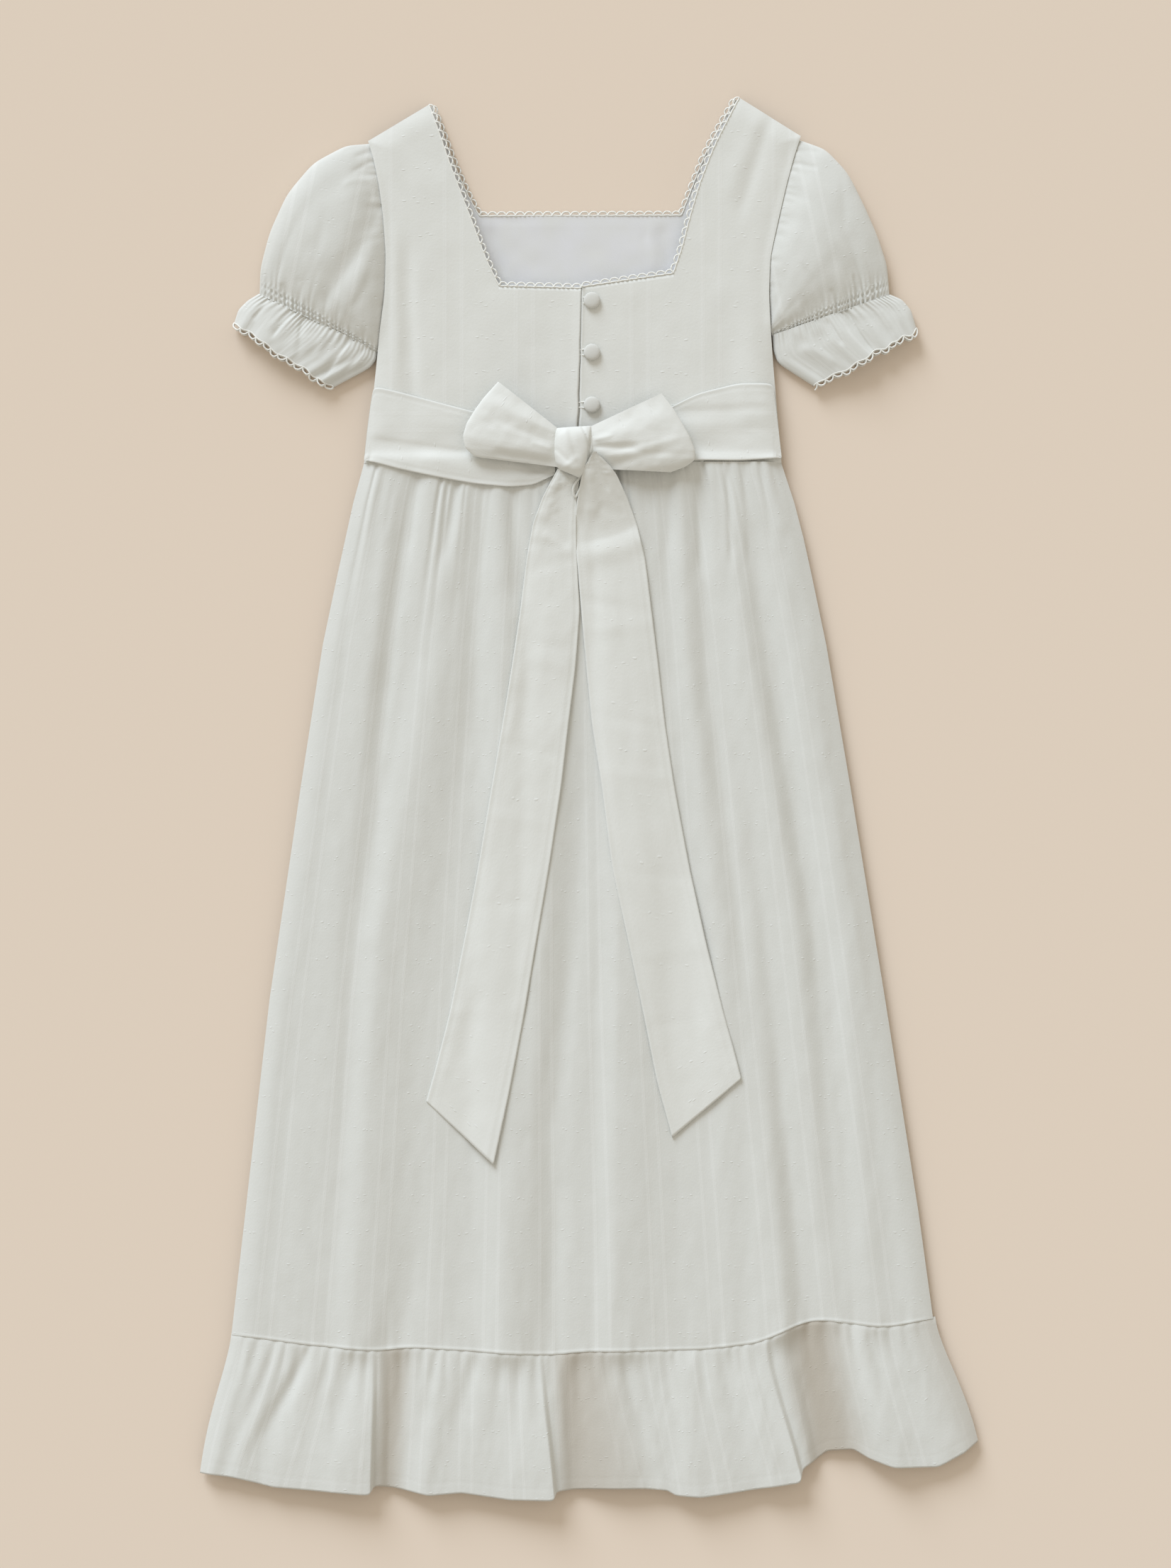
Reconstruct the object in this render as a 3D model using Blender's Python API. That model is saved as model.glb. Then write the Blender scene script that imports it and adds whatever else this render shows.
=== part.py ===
"""A girl's long white cotton dress, laid flat with its back uppermost and its sash tied in a bow.

The dress lies on the surface at z = 0. +Y runs from the hem to the neck and +X to the right of the
view from above. Left and right are those of that view. Sizes are in millimetres until a mesh is made.
"""

from collections import namedtuple

import bpy
import numpy as np

MM = 0.001

# Walls and clearances. STEEPEST limits how much thicker a steep wall is when measured upwards.
CLOTH = 1.2
LINING = 1.0
LACE = 1.0
SEAM = 0.3
REST = 0.3
STEEPEST = 1.8

# How the two layers of the body lie: apart by the air between them, and rolled at the side seams
SIDE_LIFT = 3.5
SIDE_ROLL = 15.0
SKIRT_AIR = 8.0
BODICE_AIR = 7.4
SHOULDER_ROLL = 16.0
FRONT_SHOULDER = 1.6
BACK_SHOULDER = 5.6
BACK_EDGE = 5.2

# Gathers and lace
WAIST_GATHERS = 32
WAIST_GATHER_HEIGHT = 1.9
WAIST_GATHER_LENGTH = 75.0
RUFFLE_GATHERS = 38
RUFFLE_GATHER_HEIGHT = 1.5
FRONT_GATHER_HEIGHT = 1.0
FRONT_WAIST_GATHERS = 20
FRONT_RUFFLE_GATHERS = 26
FRONT_GATHER_LENGTH = 30.0
DEEP_FOLD = 0.02
CASING_GATHERS = 12
CASING_GATHER_HEIGHT = 0.7
CROWN_GATHER_HEIGHT = 0.8
FRILL_FLUTES = 7
FRILL_FLUTE_HEIGHTS = (0.5, 1.2, 1.8)
ARMHOLE_GAP = 0.6
LACE_PITCH = 8.0
LACE_WIDTH = 4.6
LACE_SCALLOP = 1.7

# Covered buttons, the thread loops that hold them, and the back opening
BUTTON_RADIUS = 5.7
BUTTON_HEIGHT = 4.4
BUTTON_STANDOFF = 1.9
SHANK_RADIUS = 1.9
LOOP_THREAD = 1.1
OPENING_LEFT = -6.3
OPENING_RIGHT = -4.5
BUTTON_Y = (350.5, 314.0, 277.0)
BUTTON_X = 2.6

WAIST_Y = 236.5

# The tables' y is measured from a point this far below the middle of the finished dress
MIDDLE_Y = 1.55

WHITE = (0.86, 0.86, 0.83)
LINING_WHITE = (0.88, 0.88, 0.88)
LACE_WHITE = (0.88, 0.87, 0.82)
COTTON_ROUGHNESS = 0.85


def table(columns, *rows):
    """A short table with named columns."""
    row = namedtuple("Row", columns)
    return [row(*values) for values in rows]


def column(rows, name):
    return np.array([getattr(row, name) for row in rows], float)


def read(rows, key, name, at):
    """The column called name, read between rows where the column called key is at."""
    keys, values = column(rows, key), column(rows, name)
    order = np.argsort(keys)
    return np.interp(at, keys[order], values[order])


def finer(rows, count):
    """A table with count rows in place of each step between two rows."""
    at = np.linspace(0, len(rows) - 1, count * (len(rows) - 1) + 1)
    fields = rows[0]._fields
    values = [np.interp(at, np.arange(len(rows)), column(rows, field)) for field in fields]
    return [type(rows[0])(*row) for row in zip(*values)]


# The skirt's side seams, from the waist to the ruffle's seam
SKIRT_SIDES = table(
    "y left right",
    (236.5, -158.5, 135.5),
    (209.0, -166.0, 144.5),
    (184.0, -171.5, 151.0),
    (159.0, -177.0, 156.5),
    (109.0, -187.5, 167.0),
    (9.0, -203.0, 184.0),
    (-141.0, -225.0, 208.5),
    (-291.0, -242.0, 232.0),
    (-378.5, -252.0, 244.0),
)

# The crease down the back's left side
BODICE_CREASE_X = -131.0
BODICE_CREASE_HEIGHT = 1.5
BODICE_CREASE_ENDS = (235.0, 400.0)
BODICE_CREASE_WIDTHS = (12, 8)
BODICE_CREASE_FADES = (30, 60)

# The seam that joins the ruffle to the skirt
RUFFLE_SEAM = table(
    "x y",
    (-252.0, -377.0),
    (-195.0, -384.5),
    (-148.0, -388.5),
    (-127.0, -386.0),
    (-48.0, -390.5),
    (-6.0, -389.0),
    (80.0, -387.5),
    (118.0, -383.0),
    (140.0, -373.0),
    (164.5, -366.5),
    (210.0, -372.0),
    (244.0, -365.5),
)
SEAM_LEFT = RUFFLE_SEAM[0].x
SEAM_RIGHT = RUFFLE_SEAM[-1].x
RUFFLE_SPAN = 520.0

# The back ruffle's hem, with a step at each deep fold
BACK_HEM = table(
    "u x y",
    (0.00, -274.0, -474.5),
    (0.06, -251.0, -477.0),
    (0.12, -222.0, -484.0),
    (0.205, -155.5, -489.5),
    (0.22, -152.5, -485.0),
    (0.25, -136.0, -484.0),
    (0.33, -90.0, -488.0),
    (0.445, -26.5, -493.0),
    (0.46, -24.0, -488.0),
    (0.50, 4.0, -485.5),
    (0.58, 55.0, -486.0),
    (0.64, 80.0, -491.0),
    (0.765, 148.5, -480.5),
    (0.78, 151.0, -471.0),
    (0.82, 168.0, -459.0),
    (0.85, 186.0, -457.5),
    (0.91, 214.0, -470.0),
    (0.96, 247.0, -470.0),
    (1.00, 274.0, -452.0),
)

# The front ruffle's hem lies under the back's and shows nowhere from above
FRONT_HEM = table(
    "u x y",
    (0.00, -273.5, -474.0),
    (0.12, -220.0, -480.0),
    (0.50, 2.0, -481.0),
    (0.80, 165.0, -455.0),
    (0.88, 205.0, -460.0),
    (1.00, 273.5, -451.5),
)

# The long folds of the back skirt, read at four heights: the crest's place and its height there.
# rise and fall are how far a fold spreads to its left and right.
FOLD_STATIONS = (236.5, 100.0, -100.0, -386.0)
SKIRT_FOLDS = table(
    "name x_waist x_upper x_lower x_seam h_waist h_upper h_lower h_seam rise fall",
    ("side_left", -141, -152, -178, -195, 1.0, 2.8, 1.2, 0.6, 22, 16),
    ("pad_left", -112, -108, -146, -166, 1.3, 3.8, 4.2, 3.2, 21, 38),
    ("under_tail_left", -57, -60, -58, -60, 1.2, 3.0, 3.4, 2.5, 18, 20),
    ("centre_left", -20, -25, -33, -48, 0.8, 3.4, 4.8, 3.6, 27, 26),
    ("centre_right", 25, 20, 20, 16, 0.8, 3.1, 4.3, 3.4, 16, 44),
    ("tail_right", 64, 70, 90, 100, 1.2, 2.7, 2.3, 0.8, 16, 14),
    ("pad_right", 97, 114, 149, 170, 1.3, 4.0, 3.8, 0.8, 25, 13),
    ("side_right", 122, 145, 178, 200, 1.2, 3.2, 3.0, 1.7, 15, 20),
    ("low_right", 84, 87, 110, 139, 0.0, 0.6, 2.8, 4.3, 36, 15),
)

# The back ruffle's large waves, read at its seam and at its hem by the share u of its width
RUFFLE_WAVES = table(
    "name u_seam u_hem h_seam h_hem rise fall",
    ("corner_left", 0.05, 0.06, 0.6, 1.2, 0.05, 0.06),
    ("panel_left", 0.200, 0.205, 1.2, 5.6, 0.110, 0.012),
    ("second", 0.290, 0.290, 0.8, 3.6, 0.035, 0.050),
    ("third", 0.435, 0.445, 1.2, 6.0, 0.120, 0.012),
    ("fourth", 0.520, 0.515, 0.8, 3.2, 0.035, 0.045),
    ("fifth", 0.640, 0.640, 0.8, 4.0, 0.060, 0.060),
    ("panel_right", 0.755, 0.765, 1.2, 6.0, 0.080, 0.012),
    ("seventh", 0.885, 0.910, 1.0, 4.4, 0.060, 0.045),
)

# The bodice's side seams and armholes, with the neckline's side, from the waist to the shoulder.
# Rows after the neckline's lie in the shoulder strap.
BACK_LEFT = table(
    "outer_x outer_y neck_x neck_y centre_y",
    (-158.5, 236.8, -70.5, 236.8, 236.8),
    (-152.0, 284.0, -68.0, 284.0, 284.0),
    (-149.5, 308.0, -66.5, 308.0, 308.0),
    (-147.5, 328.0, -65.0, 330.0, 330.0),
    (-143.8, 356.0, -63.5, 361.0, 359.5),
    (-143.0, 384.0, -72.0, 378.0, 378.0),
    (-145.0, 411.5, -81.5, 403.0, 403.0),
    (-148.0, 433.0, -89.5, 424.0, 424.0),
    (-151.5, 450.0, -97.5, 445.0, 445.0),
    (-155.5, 463.5, -113.0, 489.0, 489.0),
)
BACK_RIGHT = table(
    "outer_x outer_y neck_x neck_y centre_y",
    (135.5, 236.8, 57.0, 236.8, 236.8),
    (131.5, 284.0, 58.0, 284.0, 284.0),
    (129.5, 308.0, 59.0, 308.0, 308.0),
    (128.0, 328.0, 59.5, 334.0, 330.0),
    (126.5, 356.0, 59.5, 370.0, 360.5),
    (127.5, 382.0, 66.0, 389.0, 378.0),
    (133.0, 407.0, 70.5, 407.0, 403.0),
    (139.0, 433.0, 78.0, 433.0, 424.0),
    (144.0, 451.5, 88.0, 459.0, 445.0),
    (149.0, 467.0, 106.0, 494.0, 489.0),
)
NECKLINE_ROW = 4
BACK_SHARES = (0, 0.05, 0.14, 0.32, 0.65, 1)
FRONT_SHARES = (0, 0.03, 0.13, 0.32, 0.65, 1)

# The front's neckline is higher than the back's
FRONT_NECK = table(
    "outer_row left_x left_y right_x right_y",
    (0, -73.0, 236.8, 60.0, 236.8),
    (1, -74.0, 284.0, 61.0, 284.0),
    (2, -75.0, 308.0, 62.0, 308.0),
    (3, -76.0, 332.0, 63.0, 332.0),
    (4, -77.0, 362.0, 64.0, 362.0),
    (5, -77.0, 388.0, 64.5, 388.0),
    (6, -77.5, 411.0, 65.5, 411.5),
    (7, -85.5, 425.0, 72.5, 430.0),
    (8, -95.0, 446.0, 83.5, 458.0),
    (9, -111.0, 488.5, 103.5, 493.0),
)
FRONT_NECKLINE_ROW = 6

# How high the edges of the two bodice layers stand: apart at the armholes, together elsewhere
BODICE_EDGE = table(
    "y front back",
    (236.5, 3.5, 5.2),
    (305.0, 3.5, 5.2),
    (335.0, 1.0, 7.0),
    (440.0, 1.0, 7.0),
    (460.0, 1.4, 6.0),
    (495.0, 1.6, 5.6),
)

# Puff sleeves, from the armhole to the elastic casing: the outer end of each section across the
# sleeve, its inner end at the underarm, the sleeve's height and the height of its side fold
LEFT_SLEEVE = table(
    "out_x out_y in_x in_y top side",
    (-156.5, 462.0, -148.6, 330.0, 8.6, 4.0),
    (-173.0, 460.5, -149.4, 328.0, 15.0, 5.0),
    (-195.0, 448.0, -150.0, 326.0, 20.0, 6.0),
    (-213.0, 426.0, -150.4, 324.0, 21.5, 6.0),
    (-225.0, 399.0, -150.8, 322.0, 19.5, 6.0),
    (-231.5, 374.0, -151.0, 319.0, 14.5, 5.0),
    (-232.0, 357.0, -151.2, 316.5, 10.0, 4.4),
)
RIGHT_SLEEVE = table(
    "out_x out_y in_x in_y top side",
    (149.6, 465.0, 128.6, 330.0, 8.6, 4.0),
    (168.0, 458.0, 129.6, 329.5, 15.0, 5.0),
    (183.0, 441.0, 130.2, 329.0, 19.0, 6.0),
    (194.0, 418.0, 130.6, 328.5, 20.5, 6.0),
    (203.0, 397.0, 131.0, 328.0, 18.5, 6.0),
    (210.0, 376.0, 131.4, 327.5, 14.0, 5.0),
    (211.5, 356.5, 131.8, 327.0, 10.0, 4.4),
)

# Frills below the casings, to their hems
LEFT_FRILL = table(
    "out_x out_y in_x in_y top side",
    (-232.6, 356.2, -151.6, 315.8, 10.0, 4.4),
    (-243.0, 349.0, -157.0, 303.0, 11.0, 4.2),
    (-249.0, 337.0, -179.5, 290.0, 11.5, 4.0),
)
RIGHT_FRILL = table(
    "out_x out_y in_x in_y top side",
    (212.2, 355.6, 131.2, 326.2, 10.0, 4.4),
    (223.0, 350.0, 135.0, 312.0, 11.0, 4.2),
    (230.5, 331.0, 156.0, 291.5, 11.5, 4.0),
)

# The folds of a sleeve run from the armhole to the casing: s is the share across a section
SLEEVE_FOLDS = table(
    "s_armhole s_casing height width",
    (0.14, 0.22, 1.6, 0.08),
    (0.30, 0.42, 2.6, 0.09),
    (0.48, 0.64, 2.4, 0.09),
    (0.66, 0.82, 1.6, 0.08),
)

# The sash from each side seam to the knot: its upper and lower edges
LEFT_BAND = table(
    "x upper lower",
    (-157.4, 287.0, 238.0),
    (-152.0, 291.0, 237.0),
    (-133.0, 286.0, 232.0),
    (-107.0, 279.5, 226.5),
    (-82.0, 273.0, 222.0),
    (-56.0, 265.0, 219.5),
    (-39.0, 260.0, 221.0),
    (-26.6, 256.5, 228.0),
)
RIGHT_BAND = table(
    "x upper lower",
    (134.4, 288.0, 240.0),
    (130.0, 293.5, 239.5),
    (104.5, 292.0, 238.0),
    (76.5, 285.5, 238.5),
    (57.5, 276.0, 238.0),
    (34.0, 265.0, 238.0),
    (4.8, 256.0, 240.0),
)

# The bow: each loop runs from the knot to a slanted outer fold
LEFT_BOW = table(
    "out_x out_y in_x in_y top side",
    (-83.5, 245.0, -26.5, 237.5, 20.5, 16.6),
    (-88.5, 252.0, -26.5, 242.0, 23.5, 16.9),
    (-86.0, 264.0, -26.5, 248.0, 25.0, 17.1),
    (-76.5, 281.0, -26.5, 254.0, 23.5, 16.9),
    (-64.0, 293.5, -26.5, 259.5, 20.0, 16.6),
)
RIGHT_BOW = table(
    "out_x out_y in_x in_y top side",
    (70.0, 234.5, 4.7, 236.0, 20.5, 16.6),
    (75.5, 239.0, 4.7, 242.0, 23.5, 16.9),
    (72.5, 250.0, 4.7, 248.5, 25.0, 17.1),
    (64.5, 266.0, 4.7, 254.5, 23.5, 16.9),
    (50.5, 284.5, 4.7, 260.5, 20.0, 16.6),
)
KNOT_CENTRE = (-10.9, 245.6)
KNOT_HALF = (15.3, 17.0)
KNOT_PINCH = 0.06
KNOT_CREASE_HEIGHT = 0.8
KNOT_FLOOR = 12.3
BOW_FLOOR = 14.4
KNOT_TOP = 26.0

# The sash's free ends, from the knot to their slanted hems
LEFT_TAIL = table(
    "left_x left_y right_x right_y",
    (-20.5, 234.0, -9.5, 234.0),
    (-33.0, 211.5, -12.5, 211.5),
    (-39.5, 194.0, -12.5, 194.0),
    (-44.0, 169.0, -10.5, 169.0),
    (-48.5, 132.5, -7.5, 132.5),
    (-54.5, 92.5, -9.5, 92.5),
    (-61.0, 52.5, -14.5, 52.5),
    (-68.5, 9.0, -19.5, 9.0),
    (-78.0, -47.5, -28.0, -47.5),
    (-88.0, -100.0, -37.0, -100.0),
    (-98.0, -150.0, -46.0, -154.0),
    (-108.0, -189.0, -56.0, -206.0),
    (-114.5, -212.5, -67.0, -257.0),
)
RIGHT_TAIL = table(
    "left_x left_y right_x right_y",
    (-7.0, 234.0, 3.5, 234.0),
    (-8.5, 227.0, 19.5, 227.0),
    (-9.0, 211.5, 27.0, 211.5),
    (-11.0, 194.0, 34.0, 194.0),
    (-9.5, 169.0, 39.5, 169.0),
    (-6.5, 132.5, 44.0, 132.5),
    (-3.0, 92.5, 49.0, 92.5),
    (1.0, 52.5, 53.5, 52.5),
    (9.0, 9.0, 60.0, 9.0),
    (16.0, -47.5, 70.5, -47.5),
    (27.5, -100.0, 82.0, -100.0),
    (38.0, -150.0, 94.5, -150.0),
    (48.0, -200.0, 101.5, -175.0),
    (58.5, -238.0, 107.0, -196.5),
)


# Soft folds in the sash's bands, loops and tails, and how far round them the dress is cleared
BAND_SIDE = 14.0
BAND_REACH = (4.0, 10.5)
BAND_SWELL = 0.8
BAND_CREASE_HEIGHT = 0.5
BAND_CREASES = 2
BOW_CREASE_HEIGHT = 0.6
BOW_CREASES = 2.5
TAIL_REACH = (7.0, 12.0)
TAIL_CURL = 1.6
TAIL_CURL_START = 0.86


def ease(share):
    """Runs smoothly from 0 to 1 as share does."""
    share = np.clip(share, 0, 1)
    return share * share * (3 - 2 * share)


def ridge(distance, rise, fall):
    """1 on a fold's crest, and 0 at rise to its left and fall to its right."""
    return ease(1 - np.abs(distance) / np.where(distance < 0, rise, fall))


def gather_phase(u, count):
    """Counts the gathers across a panel. They are uneven, so the phase wanders a little."""
    return count * u + 0.32 * np.sin(9.4 * u + 0.6) + 0.22 * np.sin(23.0 * u + 2.0)


def gather_wave(u, count):
    """The gathers' height from 0 to 1."""
    strength = 0.78 + 0.22 * np.sin(31.0 * u + 1.0)
    return strength * (0.5 + 0.5 * np.cos(2 * np.pi * gather_phase(u, count)))


def gather_columns(count, each, extra=()):
    """Shares across a panel with the same number of points on each gather. Those at the seam's
    corners are always there, so that both sides of the seam follow the same line."""
    fine = np.linspace(0, 1, 4001)
    phase = gather_phase(fine, count)
    first, last = np.ceil(phase[0] * each), np.floor(phase[-1] * each)
    inside = np.interp(np.arange(first, last + 1) / each, phase, fine)
    corners = (column(RUFFLE_SEAM, "x") - SEAM_LEFT) / (SEAM_RIGHT - SEAM_LEFT)
    fixed = np.concatenate([corners, extra])
    spacing = 0.35 / (count * each)
    return np.sort(np.concatenate([[u for u in inside if np.min(np.abs(fixed - u)) > spacing], fixed]))


def upright(height, x, y):
    """A wall's thickness measured upwards, so that it is CLOTH across a slope."""
    step = 0.5
    slope_x = (height(x + step, y) - height(x - step, y)) / (2 * step)
    slope_y = (height(x, y + step) - height(x, y - step)) / (2 * step)
    return CLOTH * np.clip(np.sqrt(1 + slope_x**2 + slope_y**2), 1, STEEPEST)


def skirt_share(x, y):
    """Where x is between the side seams at y, from 0 to 1, and how far it is from the nearer one."""
    left, right = read(SKIRT_SIDES, "y", "left", y), read(SKIRT_SIDES, "y", "right", y)
    share = np.clip((x - left) / (right - left), 0, 1)
    return share, np.clip(np.minimum(x - left, right - x), 0, None)


def rolled(distance, edge, middle, reach):
    """A layer's height: edge at a side seam, then a round roll to middle."""
    return middle + (edge - middle) * np.clip(1 - distance / reach, 0, 1) ** 2


def front_skirt_height(x, y):
    share, side = skirt_share(x, y)
    inner = ease(side / SIDE_ROLL)
    fade = np.exp(-(WAIST_Y - y) / FRONT_GATHER_LENGTH)
    waves = FRONT_GATHER_HEIGHT * gather_wave(share, FRONT_WAIST_GATHERS) * fade * inner
    return rolled(side, SIDE_LIFT, 0.0, SIDE_ROLL) + waves


def back_skirt_height(x, y):
    share, side = skirt_share(x, y)
    inner = ease(side / SIDE_ROLL)
    height = rolled(side, BACK_EDGE, SKIRT_AIR, SIDE_ROLL)
    stations = np.array(FOLD_STATIONS[::-1])
    for fold in SKIRT_FOLDS:
        places = (fold.x_seam, fold.x_lower, fold.x_upper, fold.x_waist)
        heights = (fold.h_seam, fold.h_lower, fold.h_upper, fold.h_waist)
        crest = np.interp(y, stations, places)
        tall = np.interp(y, stations, heights)
        height = height + tall * ridge(x - crest, fold.rise, fold.fall) * inner
    fade = np.exp(-np.clip(WAIST_Y - y, 0, None) / WAIST_GATHER_LENGTH)
    waves = WAIST_GATHER_HEIGHT * gather_wave(share, WAIST_GATHERS) * fade
    return height + waves * inner


def shoulder_drop(x, y):
    """How far a point lies below the shoulder seam."""
    left, right = BACK_LEFT[-1], BACK_RIGHT[-1]
    left_seam = np.interp(x, (left.outer_x, left.neck_x), (left.outer_y, left.neck_y))
    right_seam = np.interp(x, (right.neck_x, right.outer_x), (right.neck_y, right.outer_y))
    return np.clip(np.where(x < 0, left_seam, right_seam) - y, 0, None)


def bodice_side(x, y):
    """How far a point lies from the nearer side seam or armhole."""
    left = read(BACK_LEFT, "outer_y", "outer_x", y)
    right = read(BACK_RIGHT, "outer_y", "outer_x", y)
    return np.clip(np.minimum(x - left, right - x), 0, None)


def front_bodice_height(x, y):
    edge = read(BODICE_EDGE, "y", "front", y)
    by_side = rolled(bodice_side(x, y), edge, 0.0, SIDE_ROLL)
    by_shoulder = rolled(shoulder_drop(x, y), FRONT_SHOULDER, 0.0, SHOULDER_ROLL)
    return np.maximum(by_side, by_shoulder)


def back_bodice_height(x, y):
    edge = read(BODICE_EDGE, "y", "back", y)
    by_side = rolled(bodice_side(x, y), edge, BODICE_AIR, SIDE_ROLL)
    by_shoulder = rolled(shoulder_drop(x, y), BACK_SHOULDER, BODICE_AIR, SHOULDER_ROLL)
    lower_end, upper_end = BODICE_CREASE_ENDS
    crease = BODICE_CREASE_HEIGHT * ridge(x - BODICE_CREASE_X, *BODICE_CREASE_WIDTHS)
    fade = ease((y - lower_end) / BODICE_CREASE_FADES[0]) * ease((upper_end - y) / BODICE_CREASE_FADES[1])
    return np.minimum(by_side, by_shoulder) + crease * fade


def body_top(x, y):
    """The upper surface of the dress's body, where the sash lies."""
    bodice = back_bodice_height(x, y) + upright(back_bodice_height, x, y)
    below = np.minimum(y, WAIST_Y)
    skirt = back_skirt_height(x, below) + upright(back_skirt_height, x, below)
    return np.where(y > WAIST_Y, bodice, skirt)


def resting_height(surface, x, y, reach_x, reach_y):
    """The lowest height at which a flat piece clears a surface, looking this far all round."""
    across, along = np.linspace(-1, 1, 25), np.linspace(-1, 1, 9)
    heights = [surface(x + dx * reach_x, y + dy * reach_y) for dx in across for dy in along]
    return np.max(heights, axis=0) + REST


def make_object(name, points, faces, colour):
    """A smooth-shaded mesh object from points in millimetres."""
    mesh = bpy.data.meshes.new(name)
    points = (np.asarray(points, float) - (0, MIDDLE_Y, 0)) * MM
    mesh.from_pydata(points.tolist(), [], faces)
    mesh.update()
    mesh.shade_smooth()
    mesh.set_sharp_from_angle(angle=np.radians(50))
    mesh.materials.append(material_of(name, colour))
    obj = bpy.data.objects.new(name, mesh)
    bpy.context.scene.collection.objects.link(obj)
    return obj


def material_of(name, colour):
    """Matt cotton of this colour, for the piece of this name."""
    material = bpy.data.materials.new(name)
    material.use_nodes = True
    shader = material.node_tree.nodes["Principled BSDF"]
    shader.inputs["Base Color"].default_value = (*colour, 1)
    shader.inputs["Roughness"].default_value = COTTON_ROUGHNESS
    return material


def wall(name, lower, upper, colour, cells=None, wrap=False):
    """A closed wall between two grids of points. cells marks the grid's cells that are cloth, and
    wrap joins the last column to the first."""
    rows, columns = lower.shape[:2]
    across = columns if wrap else columns - 1
    if cells is None:
        cells = np.ones((rows - 1, across), bool)
    faces = []

    def at(level, row, column_index):
        return level * rows * columns + row * columns + column_index % columns

    def is_cloth(row, column_index):
        if wrap:
            column_index %= columns
        inside = 0 <= row < rows - 1 and 0 <= column_index < across
        return inside and cells[row, column_index]

    for i in range(rows - 1):
        for j in range(across):
            if not cells[i, j]:
                continue
            corners = ((i, j), (i, j + 1), (i + 1, j + 1), (i + 1, j))
            faces.append([at(1, *corner) for corner in corners])
            faces.append([at(0, *corners[k]) for k in (0, 3, 2, 1)])
            neighbours = ((i - 1, j), (i, j + 1), (i + 1, j), (i, j - 1))
            for side, neighbour in enumerate(neighbours):
                if not is_cloth(*neighbour):
                    start, end = corners[side], corners[(side + 1) % 4]
                    faces.append([at(1, *end), at(1, *start), at(0, *start), at(0, *end)])
    points = np.concatenate([lower.reshape(-1, 3), upper.reshape(-1, 3)])
    used = sorted({index for face in faces for index in face})
    new_index = {old: new for new, old in enumerate(used)}
    faces = [[new_index[index] for index in face] for face in faces]
    if turned_down(points[used], faces):
        faces = [face[::-1] for face in faces]
    return make_object(name, points[used], faces, colour)


def turned_down(points, faces):
    """True if the faces point into the solid, by the sign of its volume."""
    volume = 0.0
    for face in faces:
        first = points[face[0]]
        for second, third in zip(face[1:-1], face[2:]):
            volume += np.dot(first, np.cross(points[second], points[third]))
    return volume < 0


def panel(name, x, y, height, colour, cells=None, thickness=None):
    """A wall whose underside follows height(x, y)."""
    base = height(x, y)
    thick = upright(height, x, y) if thickness is None else thickness
    lower = np.stack([x, y, base], axis=-1)
    upper = np.stack([x, y, base + thick], axis=-1)
    return wall(name, lower, upper, colour, cells)


def make_skirt(name, height, gathers, each, row_shares):
    """A skirt panel from the waist seam to the ruffle's seam."""
    u = gather_columns(gathers, each)[None, :]
    v = np.array(row_shares)[:, None]
    seam_y = read(RUFFLE_SEAM, "x", "y", SEAM_LEFT + u * (SEAM_RIGHT - SEAM_LEFT)) + SEAM / 2
    y = WAIST_Y - SEAM / 2 + v * (seam_y - WAIST_Y)
    left, right = read(SKIRT_SIDES, "y", "left", y), read(SKIRT_SIDES, "y", "right", y)
    return panel(name, left + u * (right - left), y, height, WHITE)


def ruffle_grid(hem, u, v):
    """Points of a ruffle, from its seam to its hem."""
    seam_x = SEAM_LEFT + u * (SEAM_RIGHT - SEAM_LEFT)
    seam_y = read(RUFFLE_SEAM, "x", "y", seam_x) - SEAM / 2
    hem_x, hem_y = read(hem, "u", "x", u), read(hem, "u", "y", u)
    return seam_x + v * (hem_x - seam_x), seam_y + v * (hem_y - seam_y)


def ruffle_side(u):
    """Distance from the nearer side of a ruffle."""
    return np.minimum(u, 1 - u) * RUFFLE_SPAN


def front_ruffle_height(u, v):
    side = ruffle_side(u)
    waves = FRONT_GATHER_HEIGHT * gather_wave(u, FRONT_RUFFLE_GATHERS) * (1 - 0.5 * v)
    return rolled(side, SIDE_LIFT, 0.0, SIDE_ROLL) + waves * ease(side / SIDE_ROLL)


def back_ruffle_height(u, v):
    side = ruffle_side(u)
    height = rolled(side, BACK_EDGE, SKIRT_AIR, SIDE_ROLL)
    inner = ease(side / SIDE_ROLL)
    for wave in RUFFLE_WAVES:
        crest = wave.u_seam + v * (wave.u_hem - wave.u_seam)
        tall = wave.h_seam + ease(v * 1.2) * (wave.h_hem - wave.h_seam)
        height = height + tall * ridge(u - crest, wave.rise, wave.fall) * inner
    fade = 1 - 0.75 * ease(v * 1.3)
    return height + RUFFLE_GATHER_HEIGHT * gather_wave(u, RUFFLE_GATHERS) * fade * inner


def make_ruffle(name, hem, height, u, row_shares):
    u, v = np.meshgrid(u, np.array(row_shares))
    x, y = ruffle_grid(hem, u, v)
    base = height(u, v)
    step = 0.002
    slope = (height(u + step, v) - height(u - step, v)) / (2 * step * RUFFLE_SPAN)
    thick = CLOTH * np.clip(np.sqrt(1 + slope**2), 1, STEEPEST)
    lower = np.stack([x, y, base], axis=-1)
    upper = np.stack([x, y, base + thick], axis=-1)
    return wall(name, lower, upper, WHITE)


def back_ruffle_columns():
    """Gather columns, with more of them beside the steps of the deep folds."""
    deep = [wave for wave in RUFFLE_WAVES if wave.fall < DEEP_FOLD]
    extra = [wave.u_hem + side for wave in deep for side in (0, wave.fall)]
    return gather_columns(RUFFLE_GATHERS, 3, extra)


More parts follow.
